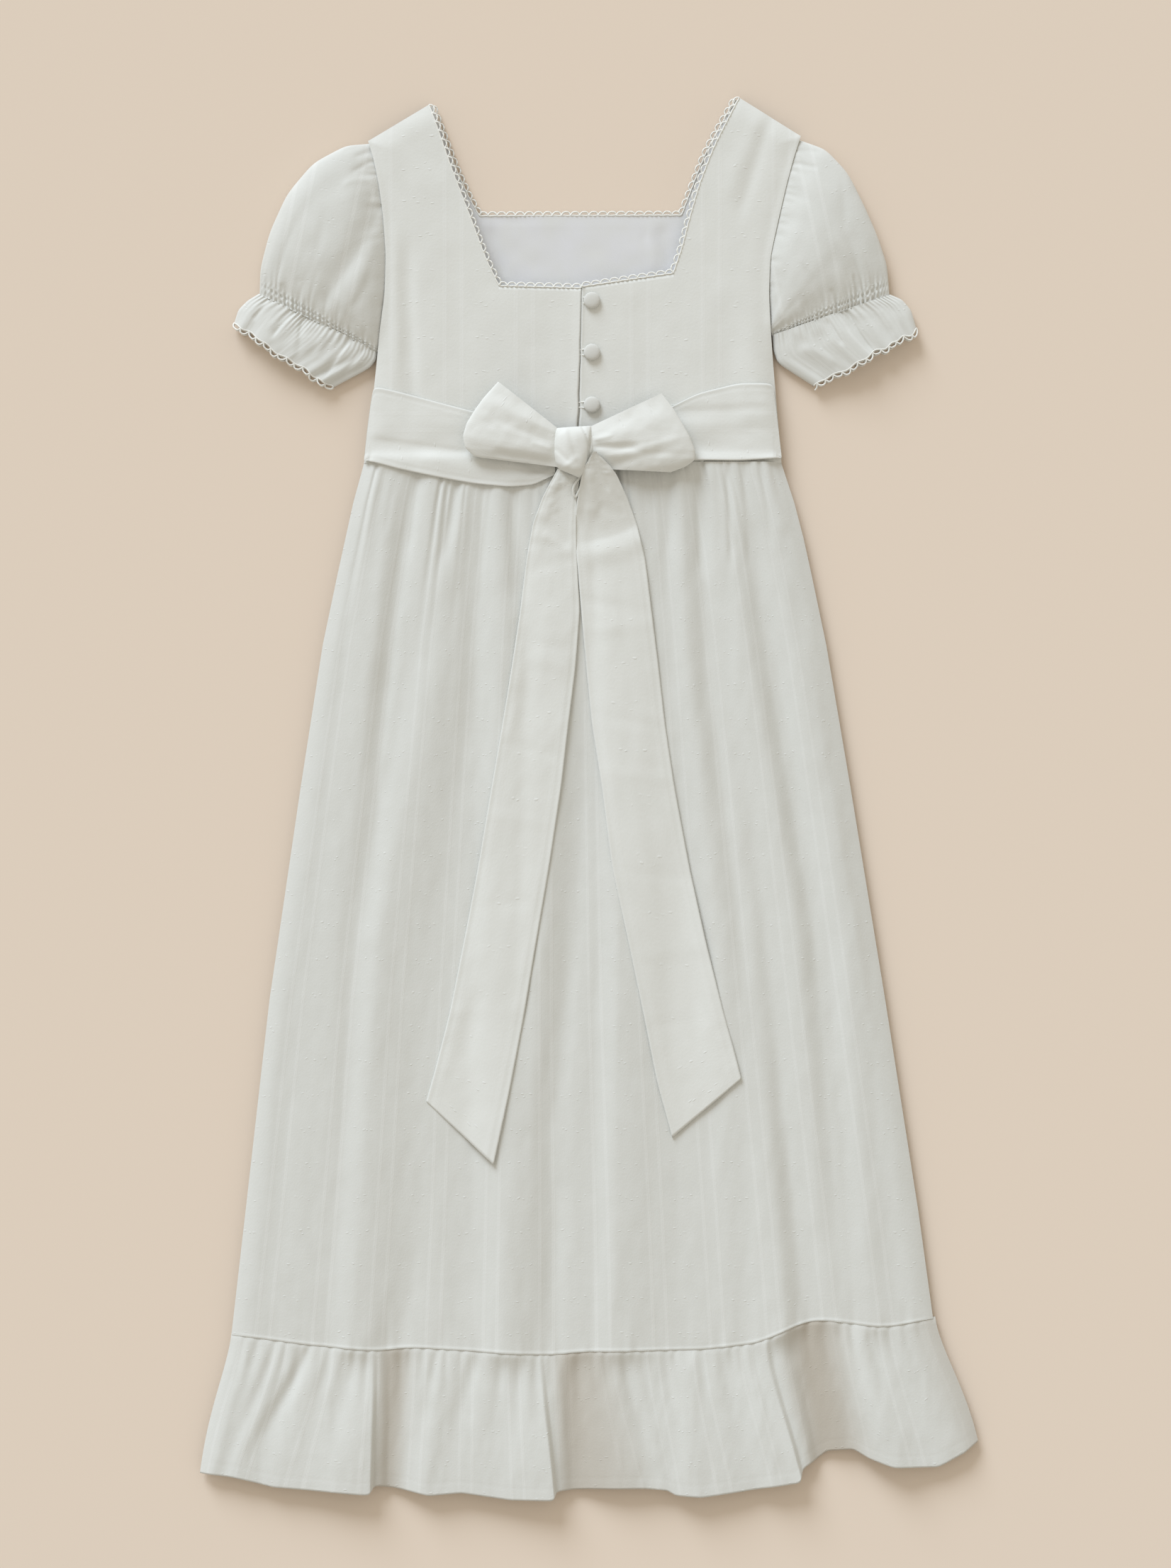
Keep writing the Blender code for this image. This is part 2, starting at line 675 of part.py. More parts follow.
def between(first, last, shares):
    """Points from first to last, along a new second axis. shares is a count of equal steps, or the
    shares themselves."""
    if isinstance(shares, int):
        shares = np.linspace(0, 1, shares + 1)
    share = np.asarray(shares)[None, :, None]
    return first[:, None, :] * (1 - share) + last[:, None, :] * share


def pairs(rows, x_name, y_name):
    return np.stack([column(rows, x_name), column(rows, y_name)], axis=-1)


def make_back_bodice(name, rows, opening):
    """Half of the back, from a side seam to the opening down the centre."""
    outer, neck = pairs(rows, "outer_x", "outer_y"), pairs(rows, "neck_x", "neck_y")
    centre = np.stack([np.full(len(rows), opening), column(rows, "centre_y")], axis=-1)
    grid = np.concatenate([between(outer, neck, BACK_SHARES), between(neck, centre, 3)[:, 1:]], axis=1)
    cells = np.ones((len(rows) - 1, grid.shape[1] - 1), bool)
    cells[NECKLINE_ROW:, len(BACK_SHARES) - 1 :] = False
    return panel(name, grid[..., 0], grid[..., 1], back_bodice_height, WHITE, cells)


def front_grid():
    """Points of the front bodice, and the cells that are cloth."""
    outer_left, outer_right = pairs(BACK_LEFT, "outer_x", "outer_y"), pairs(BACK_RIGHT, "outer_x", "outer_y")
    neck_left, neck_right = pairs(FRONT_NECK, "left_x", "left_y"), pairs(FRONT_NECK, "right_x", "right_y")
    parts = [
        between(outer_left, neck_left, FRONT_SHARES),
        between(neck_left, neck_right, 6)[:, 1:-1],
        between(outer_right, neck_right, FRONT_SHARES)[:, ::-1],
    ]
    grid = np.concatenate(parts, axis=1)
    cells = np.ones((grid.shape[0] - 1, grid.shape[1] - 1), bool)
    side = len(FRONT_SHARES) - 1
    cells[FRONT_NECKLINE_ROW:, side : side + 6] = False
    return grid, cells


def lining_height(x, y):
    return front_bodice_height(x, y) + upright(front_bodice_height, x, y) + SEAM


def make_front_bodice():
    """The front and its plain lining, which stops just inside the side seams."""
    grid, cells = front_grid()
    panel("front_bodice", grid[..., 0], grid[..., 1], front_bodice_height, WHITE, cells)
    cells[:, 0] = cells[:, -1] = False
    panel("front_lining", grid[..., 0], grid[..., 1], lining_height, LINING_WHITE, cells, LINING)


def spaced(path, step):
    """The path again with a point every step, and the direction to its left there."""
    path = np.asarray(path, float)
    lengths = np.concatenate([[0], np.cumsum(np.linalg.norm(np.diff(path, axis=0), axis=1))])
    count = max(2, round(lengths[-1] / step))
    at = np.linspace(0, lengths[-1], count + 1)
    points = np.stack([np.interp(at, lengths, path[:, axis]) for axis in range(path.shape[1])], axis=-1)
    smooth = points.copy()
    smooth[1:-1] = (points[:-2] + 2 * points[1:-1] + points[2:]) / 4
    along = np.gradient(smooth[:, :2], axis=0)
    along /= np.linalg.norm(along, axis=1, keepdims=True)
    return points, np.stack([-along[:, 1], along[:, 0]], axis=-1)


def edge_lace(name, path, height, side):
    """Scalloped lace along an edge. side is 1 to put it left of the path, and -1 for right."""
    points, left = spaced(path, LACE_PITCH / 2)
    scallop = LACE_WIDTH - LACE_SCALLOP * (np.arange(len(points)) % 2)
    offsets = np.stack([np.full(len(points), SEAM), scallop])
    grid = points[None, :, :] + side * offsets[..., None] * left[None, :, :]
    base = np.broadcast_to(height(points[:, 0], points[:, 1])[None, :], grid.shape[:2])
    lower = np.concatenate([grid, base[..., None]], axis=-1)
    upper = lower + (0, 0, LACE)
    return wall(name, lower, upper, LACE_WHITE)


def neck_paths():
    """The three neck edges: the back's left and right, and the front's."""
    left = [(row.neck_x, row.neck_y) for row in BACK_LEFT[NECKLINE_ROW:]][::-1]
    right = [(row.neck_x, row.neck_y) for row in BACK_RIGHT[NECKLINE_ROW:]][::-1]
    left.append((OPENING_LEFT, BACK_LEFT[NECKLINE_ROW].centre_y))
    right.append((OPENING_RIGHT, BACK_RIGHT[NECKLINE_ROW].centre_y))
    strap = FRONT_NECK[FRONT_NECKLINE_ROW:]
    front = [(row.left_x, row.left_y) for row in strap[::-1]] + [(row.right_x, row.right_y) for row in strap]
    return left, right, front


def make_neck_laces():
    left, right, front = neck_paths()
    edge_lace("back_neck_lace_left", left, back_bodice_height, 1)
    edge_lace("back_neck_lace_right", right, back_bodice_height, -1)
    edge_lace("front_neck_lace", front, lambda x, y: front_bodice_height(x, y) + SEAM, 1)


def dome(sine, power):
    return np.clip(sine, 0, 1) ** power


def flat_tube(name, plan, lengths, tops, sides, floor, colour, over, under, waves, plump=0.6):
    """A flattened tube of cloth. plan(row, s) gives a section's points seen from above, from its outer
    end at s = 0 to its inner end at s = 1. tops, sides and floor are a section's heights in the
    middle, at its two ends and below, and waves(row, s) adds to the upper side."""
    angle_over = np.linspace(0, np.pi, over + 1)
    angle_under = np.linspace(0, np.pi, under + 1)[1:-1][::-1]
    share_over, share_under = (1 - np.cos(angle_over)) / 2, (1 - np.cos(angle_under)) / 2
    outer, inner = [], []
    for row, (length, top, side) in enumerate(zip(lengths, tops, sides)):
        def upper_height(s):
            sine = 2 * np.sqrt(np.clip(s * (1 - s), 0, None))
            return side + (top - side) * dome(sine, plump) + waves(row, s) * sine

        def lower_height(s):
            sine = 2 * np.sqrt(np.clip(s * (1 - s), 0, None))
            return floor + (side - floor) * (1 - dome(sine, 0.4))

        inset = CLOTH / length
        s_over = inset + share_over * (1 - 2 * inset)
        s_under = inset + share_under * (1 - 2 * inset)
        over_in, under_in = upper_height(s_over) - CLOTH, lower_height(s_under) + CLOTH
        for end in (0, -1):
            over_in[end] = (upper_height(s_over[end]) + lower_height(s_over[end])) / 2
        shares_out = np.concatenate([share_over, share_under])
        shares_in = np.concatenate([s_over, s_under])
        heights_out = np.concatenate([upper_height(share_over), lower_height(share_under)])
        heights_in = np.concatenate([over_in, under_in])
        outer.append(np.column_stack([plan(row, shares_out), heights_out]))
        inner.append(np.column_stack([plan(row, shares_in), heights_in]))
    return wall(name, np.array(inner), np.array(outer), colour, wrap=True)


def chord_plan(rows, bend=None):
    """A plan of straight sections between the table's outer and inner ends. bend(row, s) moves them."""
    out, inn = pairs(rows, "out_x", "out_y"), pairs(rows, "in_x", "in_y")

    def plan(row, s):
        s = np.asarray(s)[:, None]
        points = out[row] * (1 - s) + inn[row] * s
        return points if bend is None else points + bend(row, s[:, 0])

    return plan, np.linalg.norm(out - inn, axis=1)


def make_sleeve(name, rows, armhole, toward_body):
    """A puff sleeve from its armhole to the elastic casing."""
    fine = finer(rows, 2)
    plan, lengths = chord_plan(fine, lambda row, s: armhole_bend(fine, armhole, toward_body, row, s))

    def waves(row, s):
        v = row / (len(fine) - 1)
        height = 0
        for fold in SLEEVE_FOLDS:
            crest = fold.s_armhole + v * (fold.s_casing - fold.s_armhole)
            height = height + fold.height * ridge(s - crest, fold.width, fold.width)
        strength = ease(v * 4) * ease((1 - v) * 5)
        gathers = np.cos(2 * np.pi * CASING_GATHERS * s)
        casing = CASING_GATHER_HEIGHT * gathers * ease(v * 4 - 3)
        crown = CROWN_GATHER_HEIGHT * gathers * ease(1 - v * 4) * ease(s * 8) * ease((0.75 - s) * 4)
        return height * strength + casing + crown

    flat_tube(name, plan, lengths, column(fine, "top"), column(fine, "side"), 0.0, WHITE, 20, 5, waves)


def armhole_bend(rows, armhole, toward_body, row, s):
    """Moves the sections near the armhole onto its curve, just clear of the bodice."""
    first, v = rows[0], row / (len(rows) - 1)
    y = first.out_y + s * (first.in_y - first.out_y)
    straight = first.out_x + s * (first.in_x - first.out_x)
    edge = read(armhole, "outer_y", "outer_x", y) - toward_body * ARMHOLE_GAP
    bend = (edge - straight) * (1 - v) ** 3
    return np.column_stack([bend, np.zeros_like(bend)])


def make_frill(name, rows):
    """The frill below a sleeve's elastic casing."""
    plan, lengths = chord_plan(rows)

    def waves(row, s):
        return FRILL_FLUTE_HEIGHTS[row] * np.cos(2 * np.pi * FRILL_FLUTES * s)

    flat_tube(name, plan, lengths, column(rows, "top"), column(rows, "side"), 0.0, WHITE, 28, 5, waves)


def make_cuff_lace(name, frill, outward):
    """Scalloped lace round a frill's hem, on its upper and lower sides."""
    hem = frill[-1]
    out, inn = np.array((hem.out_x, hem.out_y)), np.array((hem.in_x, hem.in_y))
    length = np.linalg.norm(inn - out)
    over, under = 2 * round(length / LACE_PITCH), 8
    reach_over = SEAM + LACE_WIDTH - LACE_SCALLOP * (np.arange(over + 1) % 2)
    outward = np.array(outward, float)
    rows = []
    for edge in (0, 1):
        s = np.concatenate([np.linspace(0, 1, over + 1), np.linspace(1, 0, under + 1)[1:-1]])
        reach_under = np.full(under - 1, LACE_WIDTH - 1.0)
        reach = np.concatenate([reach_over, reach_under]) if edge else np.full(len(s), SEAM)
        xy = out + s[:, None] * (inn - out) + reach[:, None] * outward
        sine = 2 * np.sqrt(s * (1 - s))
        upper = hem.side + (hem.top - 1.2 - hem.side) * dome(sine, 0.6)
        lower = hem.side * (1 - dome(sine, 0.4)) + 0.3
        height = np.where(np.arange(len(s)) <= over, upper, lower)
        rows.append(np.column_stack([xy, height]))
    outer = np.array(rows)
    inner = outer.copy()
    inner[..., 2] = np.where(np.arange(outer.shape[1]) <= over, outer[..., 2] - LACE, outer[..., 2] + LACE)
    along = (inn - out) / length * LACE
    inner[:, (0, over), 2] = outer[:, (0, over), 2]
    inner[:, 0, :2] += along
    inner[:, over, :2] -= along
    return wall(name, inner, outer, LACE_WHITE, wrap=True)


def make_band(name, rows, columns_down):
    """A length of the sash that lies across the waist."""
    rows = finer(rows, 2)
    share = np.linspace(0, 1, columns_down + 1)[None, :]
    x = column(rows, "x")[:, None] + 0 * share
    upper, lower = column(rows, "upper")[:, None], column(rows, "lower")[:, None]
    y = upper + share * (lower - upper)
    side = np.minimum(np.abs(x - rows[0].x), BAND_SIDE)
    base = resting_height(body_top, x, y, BAND_REACH[0] + side * 0.7, BAND_REACH[1])
    swell = BAND_SWELL * np.sin(np.pi * share)
    creases = BAND_CREASE_HEIGHT * np.cos(2 * np.pi * BAND_CREASES * share)
    base = base + (swell + creases) * ease(side / BAND_SIDE)
    lower_points = np.stack([x, y, base], axis=-1)
    return wall(name, lower_points, lower_points + (0, 0, CLOTH), WHITE)


def make_bow_loop(name, rows):
    plan, lengths = chord_plan(rows)

    def waves(row, s):
        return BOW_CREASE_HEIGHT * np.cos(2 * np.pi * BOW_CREASES * s)

    floor = BOW_FLOOR
    flat_tube(name, plan, lengths, column(rows, "top"), column(rows, "side"), floor, WHITE, 12, 7, waves, 0.7)


def make_knot():
    """The knot: a plump pad with soft corners, pinched where the loops leave it."""
    around, levels = 16, 7
    angle = np.linspace(0, 2 * np.pi, around, endpoint=False)
    points, faces = [], []
    middle, half = (KNOT_FLOOR + KNOT_TOP) / 2, (KNOT_TOP - KNOT_FLOOR) / 2
    for level in range(1, levels):
        tilt = np.pi * level / levels - np.pi / 2
        ring, rise = np.cos(tilt) ** 0.5, np.sin(tilt)
        square = (np.abs(np.cos(angle)) ** 3 + np.abs(np.sin(angle)) ** 3) ** (-1 / 3)
        for a, reach in zip(angle, square):
            x = KNOT_CENTRE[0] + KNOT_HALF[0] * ring * reach * np.cos(a) * (1 + KNOT_PINCH * np.sin(a))
            y = KNOT_CENTRE[1] + KNOT_HALF[1] * ring * reach * np.sin(a)
            crown = KNOT_CREASE_HEIGHT * np.cos(3 * a) * (rise > 0.3)
            points.append((x, y, middle + half * rise + crown * ring))
    bottom, top = len(points), len(points) + 1
    points += [(*KNOT_CENTRE, KNOT_FLOOR), (*KNOT_CENTRE, KNOT_TOP + 0.4)]
    for ring_index in range(levels - 2):
        for j in range(around):
            a, b = ring_index * around + j, ring_index * around + (j + 1) % around
            faces.append([a, b, b + around, a + around])
    last = (levels - 2) * around
    for j in range(around):
        faces.append([bottom, (j + 1) % around, j])
        faces.append([top, last + j, last + (j + 1) % around])
    make_object("bow_knot", points, faces, WHITE)


def make_tail(name, rows, cells):
    """A free end of the sash, which lies on the skirt."""
    rows = finer(rows, 2)
    left, right = pairs(rows, "left_x", "left_y"), pairs(rows, "right_x", "right_y")
    grid = between(left, right, cells)
    x, y = grid[..., 0], grid[..., 1]
    base = resting_height(body_top, x, y, *TAIL_REACH)
    share = np.linspace(0, 1, len(rows))[:, None]
    curl = TAIL_CURL * ease((share - TAIL_CURL_START) / (1 - TAIL_CURL_START))
    curl = curl * np.linspace(0, 1, cells + 1)[None, :]
    lower = np.stack([x, y, base + curl], axis=-1)
    return wall(name, lower, lower + (0, 0, CLOTH), WHITE)


def make_button(index, y):
    """A fabric-covered button: a domed cap on a short shank."""
    floor = float(body_top(np.array(BUTTON_X), np.array(y))) + SEAM
    profile = table(
        "radius height",
        (SHANK_RADIUS, 0.0),
        (SHANK_RADIUS, BUTTON_STANDOFF),
        (BUTTON_RADIUS * 0.86, BUTTON_STANDOFF),
        (BUTTON_RADIUS, BUTTON_STANDOFF + 0.9),
        (BUTTON_RADIUS * 0.92, BUTTON_STANDOFF + 1.9),
        (BUTTON_RADIUS * 0.62, BUTTON_HEIGHT - 0.3),
    )
    around = 12
    angle = np.linspace(0, 2 * np.pi, around, endpoint=False)
    points = []
    for row in profile:
        ring = np.column_stack([BUTTON_X + row.radius * np.cos(angle), y + row.radius * np.sin(angle)])
        points += [(*xy, floor + row.height) for xy in ring]
    points.append((BUTTON_X, y, floor + BUTTON_HEIGHT))
    faces = [list(range(around))[::-1]]
    for level in range(len(profile) - 1):
        for j in range(around):
            a, b = level * around + j, level * around + (j + 1) % around
            faces.append([a, b, b + around, a + around])
    last = (len(profile) - 1) * around
    faces += [[last + j, last + (j + 1) % around, len(points) - 1] for j in range(around)]
    make_object("button_%d" % index, points, faces, WHITE)
    make_thread_loop(index, y, floor)


def make_thread_loop(index, y, floor):
    """A thread loop from the opening's left edge round the button's shank."""
    radius = SHANK_RADIUS + SEAM + LOOP_THREAD / 2 + 0.2
    height = floor + LOOP_THREAD / 2 + 0.05
    angle = np.radians(np.linspace(125, -125, 9))
    arc = [(BUTTON_X + radius * np.cos(a), y + radius * np.sin(a)) for a in angle]
    start, end = (OPENING_LEFT - 2.5, y + 1.5), (OPENING_LEFT - 2.5, y - 1.5)
    path = [start, *arc, end]
    curve = bpy.data.curves.new("button_loop_%d" % index, "CURVE")
    curve.dimensions = "3D"
    curve.bevel_depth = LOOP_THREAD / 2 * MM
    curve.bevel_resolution = 1
    curve.use_fill_caps = True
    spline = curve.splines.new("POLY")
    spline.points.add(len(path) - 1)
    for point, (px, py) in zip(spline.points, path):
        point.co = (px * MM, (py - MIDDLE_Y) * MM, height * MM, 1)
    curve.materials.append(material_of(curve.name, LACE_WHITE))
    loop = bpy.data.objects.new("button_loop_%d" % index, curve)
    bpy.context.scene.collection.objects.link(loop)


def main():
    for obj in list(bpy.data.objects):
        bpy.data.objects.remove(obj)
    make_front_bodice()
    make_skirt("front_skirt", front_skirt_height, FRONT_WAIST_GATHERS, 2, (0, 0.03, 0.09, 0.25, 0.6, 1))
    front_columns = gather_columns(FRONT_RUFFLE_GATHERS, 2)
    make_ruffle("front_ruffle", FRONT_HEM, front_ruffle_height, front_columns, (0, 0.4, 1))
    make_back_bodice("back_bodice_left", BACK_LEFT, OPENING_LEFT)
    make_back_bodice("back_bodice_right", BACK_RIGHT, OPENING_RIGHT)
    make_skirt("back_skirt", back_skirt_height, WAIST_GATHERS, 3, (0, 0.03, 0.1, 0.24, 0.45, 0.72, 1))
    make_ruffle("back_ruffle", BACK_HEM, back_ruffle_height, back_ruffle_columns(), (0, 0.12, 0.35, 0.7, 1))
    make_neck_laces()
    make_sleeve("left_sleeve", LEFT_SLEEVE, BACK_LEFT, 1)
    make_sleeve("right_sleeve", RIGHT_SLEEVE, BACK_RIGHT, -1)
    make_frill("left_frill", LEFT_FRILL)
    make_frill("right_frill", RIGHT_FRILL)
    make_cuff_lace("left_cuff_lace", LEFT_FRILL, (-0.53, -0.85))
    make_cuff_lace("right_cuff_lace", RIGHT_FRILL, (0.46, -0.89))
    make_band("sash_band_left", LEFT_BAND, 5)
    make_band("sash_band_right", RIGHT_BAND, 5)
    make_bow_loop("bow_loop_left", LEFT_BOW)
    make_bow_loop("bow_loop_right", RIGHT_BOW)
    make_knot()
    make_tail("sash_tail_left", LEFT_TAIL, 4)
    make_tail("sash_tail_right", RIGHT_TAIL, 4)
    for index, y in enumerate(BUTTON_Y, 1):
        make_button(index, y)


main()
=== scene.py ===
"""The look of a girl's white cotton dress that lies flat on its front, its sash tied in a bow.

Lengths in the tables are in millimetres, in the frame of the dress: +Y runs from the hem to the neck,
+X to the right of the view from above, and z is the height above the surface. Left and right are those
of the view. Tables whose names end in FOLDS, CREASES or CRUMPLE hold the cloth's small forms.
"""

import math
from collections import namedtuple
from functools import partial

import bpy
import numpy as np
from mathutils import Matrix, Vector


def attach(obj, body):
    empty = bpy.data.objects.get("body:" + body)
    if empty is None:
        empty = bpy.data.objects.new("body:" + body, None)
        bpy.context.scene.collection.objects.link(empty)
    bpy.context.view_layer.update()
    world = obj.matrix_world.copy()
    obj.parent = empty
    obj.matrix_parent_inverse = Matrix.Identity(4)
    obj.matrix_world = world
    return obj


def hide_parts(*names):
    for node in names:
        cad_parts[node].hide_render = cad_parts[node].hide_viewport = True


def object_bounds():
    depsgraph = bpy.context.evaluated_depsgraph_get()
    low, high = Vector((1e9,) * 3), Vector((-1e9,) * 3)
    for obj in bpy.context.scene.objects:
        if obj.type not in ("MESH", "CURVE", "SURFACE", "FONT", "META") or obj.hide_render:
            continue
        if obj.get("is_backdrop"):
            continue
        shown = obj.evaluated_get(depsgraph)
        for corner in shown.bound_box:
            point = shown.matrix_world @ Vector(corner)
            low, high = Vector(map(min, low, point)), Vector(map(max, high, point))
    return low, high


bl_info = {
    "name": "Girl's white cotton dress",
    "version": (1, 0, 0),
    "blender": (4, 5, 0),
    "location": "View3D > Sidebar > Dress",
    "description": "Builds a white cotton dress laid flat, with its sash, lace and covered buttons",
    "category": "Object",
}

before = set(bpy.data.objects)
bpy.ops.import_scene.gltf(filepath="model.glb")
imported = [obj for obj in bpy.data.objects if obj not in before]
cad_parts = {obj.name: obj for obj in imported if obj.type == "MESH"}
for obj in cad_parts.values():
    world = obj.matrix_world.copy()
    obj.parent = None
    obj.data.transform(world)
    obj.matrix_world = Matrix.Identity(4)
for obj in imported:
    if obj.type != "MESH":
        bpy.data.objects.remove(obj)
CAD_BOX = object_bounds()
MM = 0.001

# The tables' y is measured from a point this far below the middle of the finished dress
MIDDLE_Y = 1.55


def table(columns, text):
    """A short table with named columns, from rows of numbers."""
    row = namedtuple("Row", columns)
    return [row(*map(float, line.split())) for line in text.strip().splitlines()]


def folds(text):
    """Soft folds along slightly bent lines. Each has its two ends, the bend of its middle, its height,
    which is negative for a trough, and its widths to the right and left of someone who walks along."""
    return table("x y x_end y_end bend height before beyond", text)


def column(rows, name):
    return np.array([getattr(row, name) for row in rows], float)


def read(rows, key, name, at):
    """The column called name, read between rows where the column called key is at."""
    keys, values = column(rows, key), column(rows, name)
    order = np.argsort(keys)
    return np.interp(at, keys[order], values[order])


def pairs(rows, x_name, y_name):
    return np.stack([column(rows, x_name), column(rows, y_name)], axis=-1)


# How the two layers of the body lie: heights, and how far from an edge they are reached
SIDE_ROLL = 15.0
FRONT_SIDE = 3.5
BACK_SIDE = 4.4
SKIRT_AIR = 8.0
BODICE_AIR = 8.2
SHOULDER_ROLL = 16.0
BACK_SHOULDER = 5.6
FRONT_SHOULDER = 1.6
SKIRT_LIFT = 1.2
BODICE_LIFT = 1.0

# The waist seam, and how the skirt's cloth lies along the ruffle's seam
WAIST_Y = 236.5
SEAM_LEFT = -252.0
SEAM_WIDTH = 496.0
SEAM_ROUNDS = 90
SKIRT_CLOTH_WIDTH = 620.0
SKIRT_CLOTH_SHIFT = 7.0

SKIRT_SIDES = table("y left right", """
236.5 -158.5 135.5
209 -166 144.5
184 -171.5 151
159 -177 156.5
109 -187.5 167
9 -203 184
-141 -225 208.5
-291 -242 232
-378.5 -252 244
""")
RUFFLE_SEAM = table("x y", """
-252 -377
-222 -381
-195 -384.5
-148 -388.5
-127 -386
-48 -390.5
-25 -391.5
-6 -389
80 -387.5
118 -383
140 -373
151 -368.5
164.5 -366.5
191 -370
210 -372
244 -365.5
""")
# The hem by the share u of the ruffle's width
BACK_HEM = table("u x y", """
0 -274 -474.5
0.06 -251 -477
0.12 -222 -484
0.16 -190 -486.5
0.205 -154.5 -489.5
0.215 -151 -483
0.25 -134 -485.5
0.29 -113 -490
0.33 -90 -488
0.39 -56 -492.8
0.445 -25 -493
0.455 -22.5 -487
0.5 4 -485.5
0.54 38 -485
0.58 55 -486.5
0.6 61 -490
0.64 80 -491
0.7 118 -485.5
0.765 148.5 -480.5
0.775 150.5 -471
0.8 160 -465
0.82 168 -459
0.85 186 -457.5
0.87 197 -464
0.9 214 -470
0.95 246 -470
0.975 264 -460
1 274 -452
""")
FRONT_HEM = table("u x y", """
0 -273.5 -474
0.12 -220 -480
0.5 2 -481
0.8 165 -455
0.88 205 -460
1 273.5 -451.5
""")

# The back skirt's long rolls: each crest's place at four heights, its height there, and its spread
ROLL_STATIONS = (236.5, 100.0, -100.0, -386.0)
SKIRT_ROLLS = table("x_waist x_upper x_lower x_seam h_waist h_upper h_lower h_seam rise fall", """
-141 -152 -178 -195 1 2.6 1 0.4 22 16
-112 -108 -146 -166 1.3 3.4 4.4 3.2 21 38
-57 -62 -62 -64 1.2 3 3.4 2.4 20 20
-20 -24 -33 -52 0.8 3.2 4.2 3.4 26 26
25 20 22 18 0.8 3 4.2 3.6 18 44
64 68 92 100 1.2 2.6 2.6 0.8 16 16
97 112 146 168 1.3 3.6 3.8 0.8 24 14
122 146 181 202 1.2 2.8 3 1.8 15 22
84 87 112 139 0 0.4 2.6 4.2 34 15
""")

# The back skirt's creases: soft troughs, each through four evenly spaced places from top to low
SKIRT_CREASES = table("top low x_top x_second x_third x_low d_top d_mid d_low left right", """
232 -70 -121 -137 -149 -152 1.9 2.4 0.2 9 6
228 160 -92 -95 -98 -101 1.6 1.2 0.1 4 4
230 -20 -80 -81 -84 -94 1 1.7 0.3 8 10
226 118 -55 -51 -47 -51 1.4 1.6 0.2 6 5
-255 -386 -131 -126 -125 -138 0.2 1.6 2.4 14 14
60 -386 -2 -12 -29 -24 0.4 2.4 2 15 9
232 -195 76 83 101 123 1.2 2.2 0.3 8 7
180 -165 113 135 154 169 1.4 3 0.3 9 7
-165 -372 132 141 148 158 0.3 1.8 2.4 9 13
186 70 138 146 154 161 0.9 1.2 0.2 7 6
232 120 -143 -148 -153 -158 1.2 0.9 0.1 5 5
230 60 41 43 45 47 1.1 0.9 0.1 6 6
232 30 55 57 62 68 0.9 0.9 0.1 6 6
60 -300 -120 -133 -139 -146 0.1 0.9 0.1 12 8
80 -380 44 46 58 66 0.1 0.8 0.3 14 10
-60 -380 -205 -211 -217 -222 0.1 0.9 0.6 10 8
-120 -380 190 199 206 212 0.1 0.9 0.5 9 8
-120 -386 -84 -86 -90 -92 0.1 0.8 0.7 10 9
""")

# The folds and gathers below the waist seam
BACK_GATHERS = 46
FRONT_GATHERS = 30
WAIST_FOLDS = folds("""
-93 226 -103 168 0 -1.5 3.1 4.2
-87 226 -94 150 0 0.8 5.2 3.9
-74 224 -77 160 0 -0.8 3.1 3.1
-54 220 -53 140 0 -1.4 4.4 6
-64 222 -65 150 0 0.7 3.9 5.2
-119 228 -126 176 0 -0.7 2.6 3.4
-136 232 -143 190 0 -0.6 2.6 2.6
55.8 230 56.6 176 0 -1.1 3.1 3.1
64 232 67 150 0 0.7 5.2 3.9
75.8 232 78.6 160 0 -1.7 3.4 4.2
85 232 88 150 0 0.7 3.9 3.9
97 236 100 168 0 -1.4 2.3 2.9
108 236 113 170 0 -0.7 2.3 2.9
121 236 128 180 0 -0.7 2.6 2.6
""")

# The ruffle: its big waves by the share u of its width, and its short gathers by their x at the seam
RUFFLE_WIDTH = 760.0
RUFFLE_ACROSS = 520.0
RUFFLE_DROP = 105.0
RUFFLE_ROLLS = table("u_seam u_hem h_seam h_hem rise fall", """
0.05 0.06 0.6 1.4 0.05 0.06
0.2 0.2065 1.2 5.2 0.12 0.008
0.29 0.29 0.8 3.4 0.04 0.055
0.437 0.447 1.4 5.6 0.13 0.008
0.53 0.525 0.8 3 0.045 0.045
0.64 0.64 0.8 4 0.06 0.06
0.757 0.767 1.4 5.6 0.09 0.008
0.885 0.905 1 4.4 0.055 0.05
""")
RUFFLE_CHANNELS = table("u_seam u_hem d_seam d_hem left right", """
0.226 0.236 2.2 4.4 0.01 0.034
0.48 0.476 2 4 0.011 0.04
0.802 0.806 2.4 4.8 0.014 0.044
""")
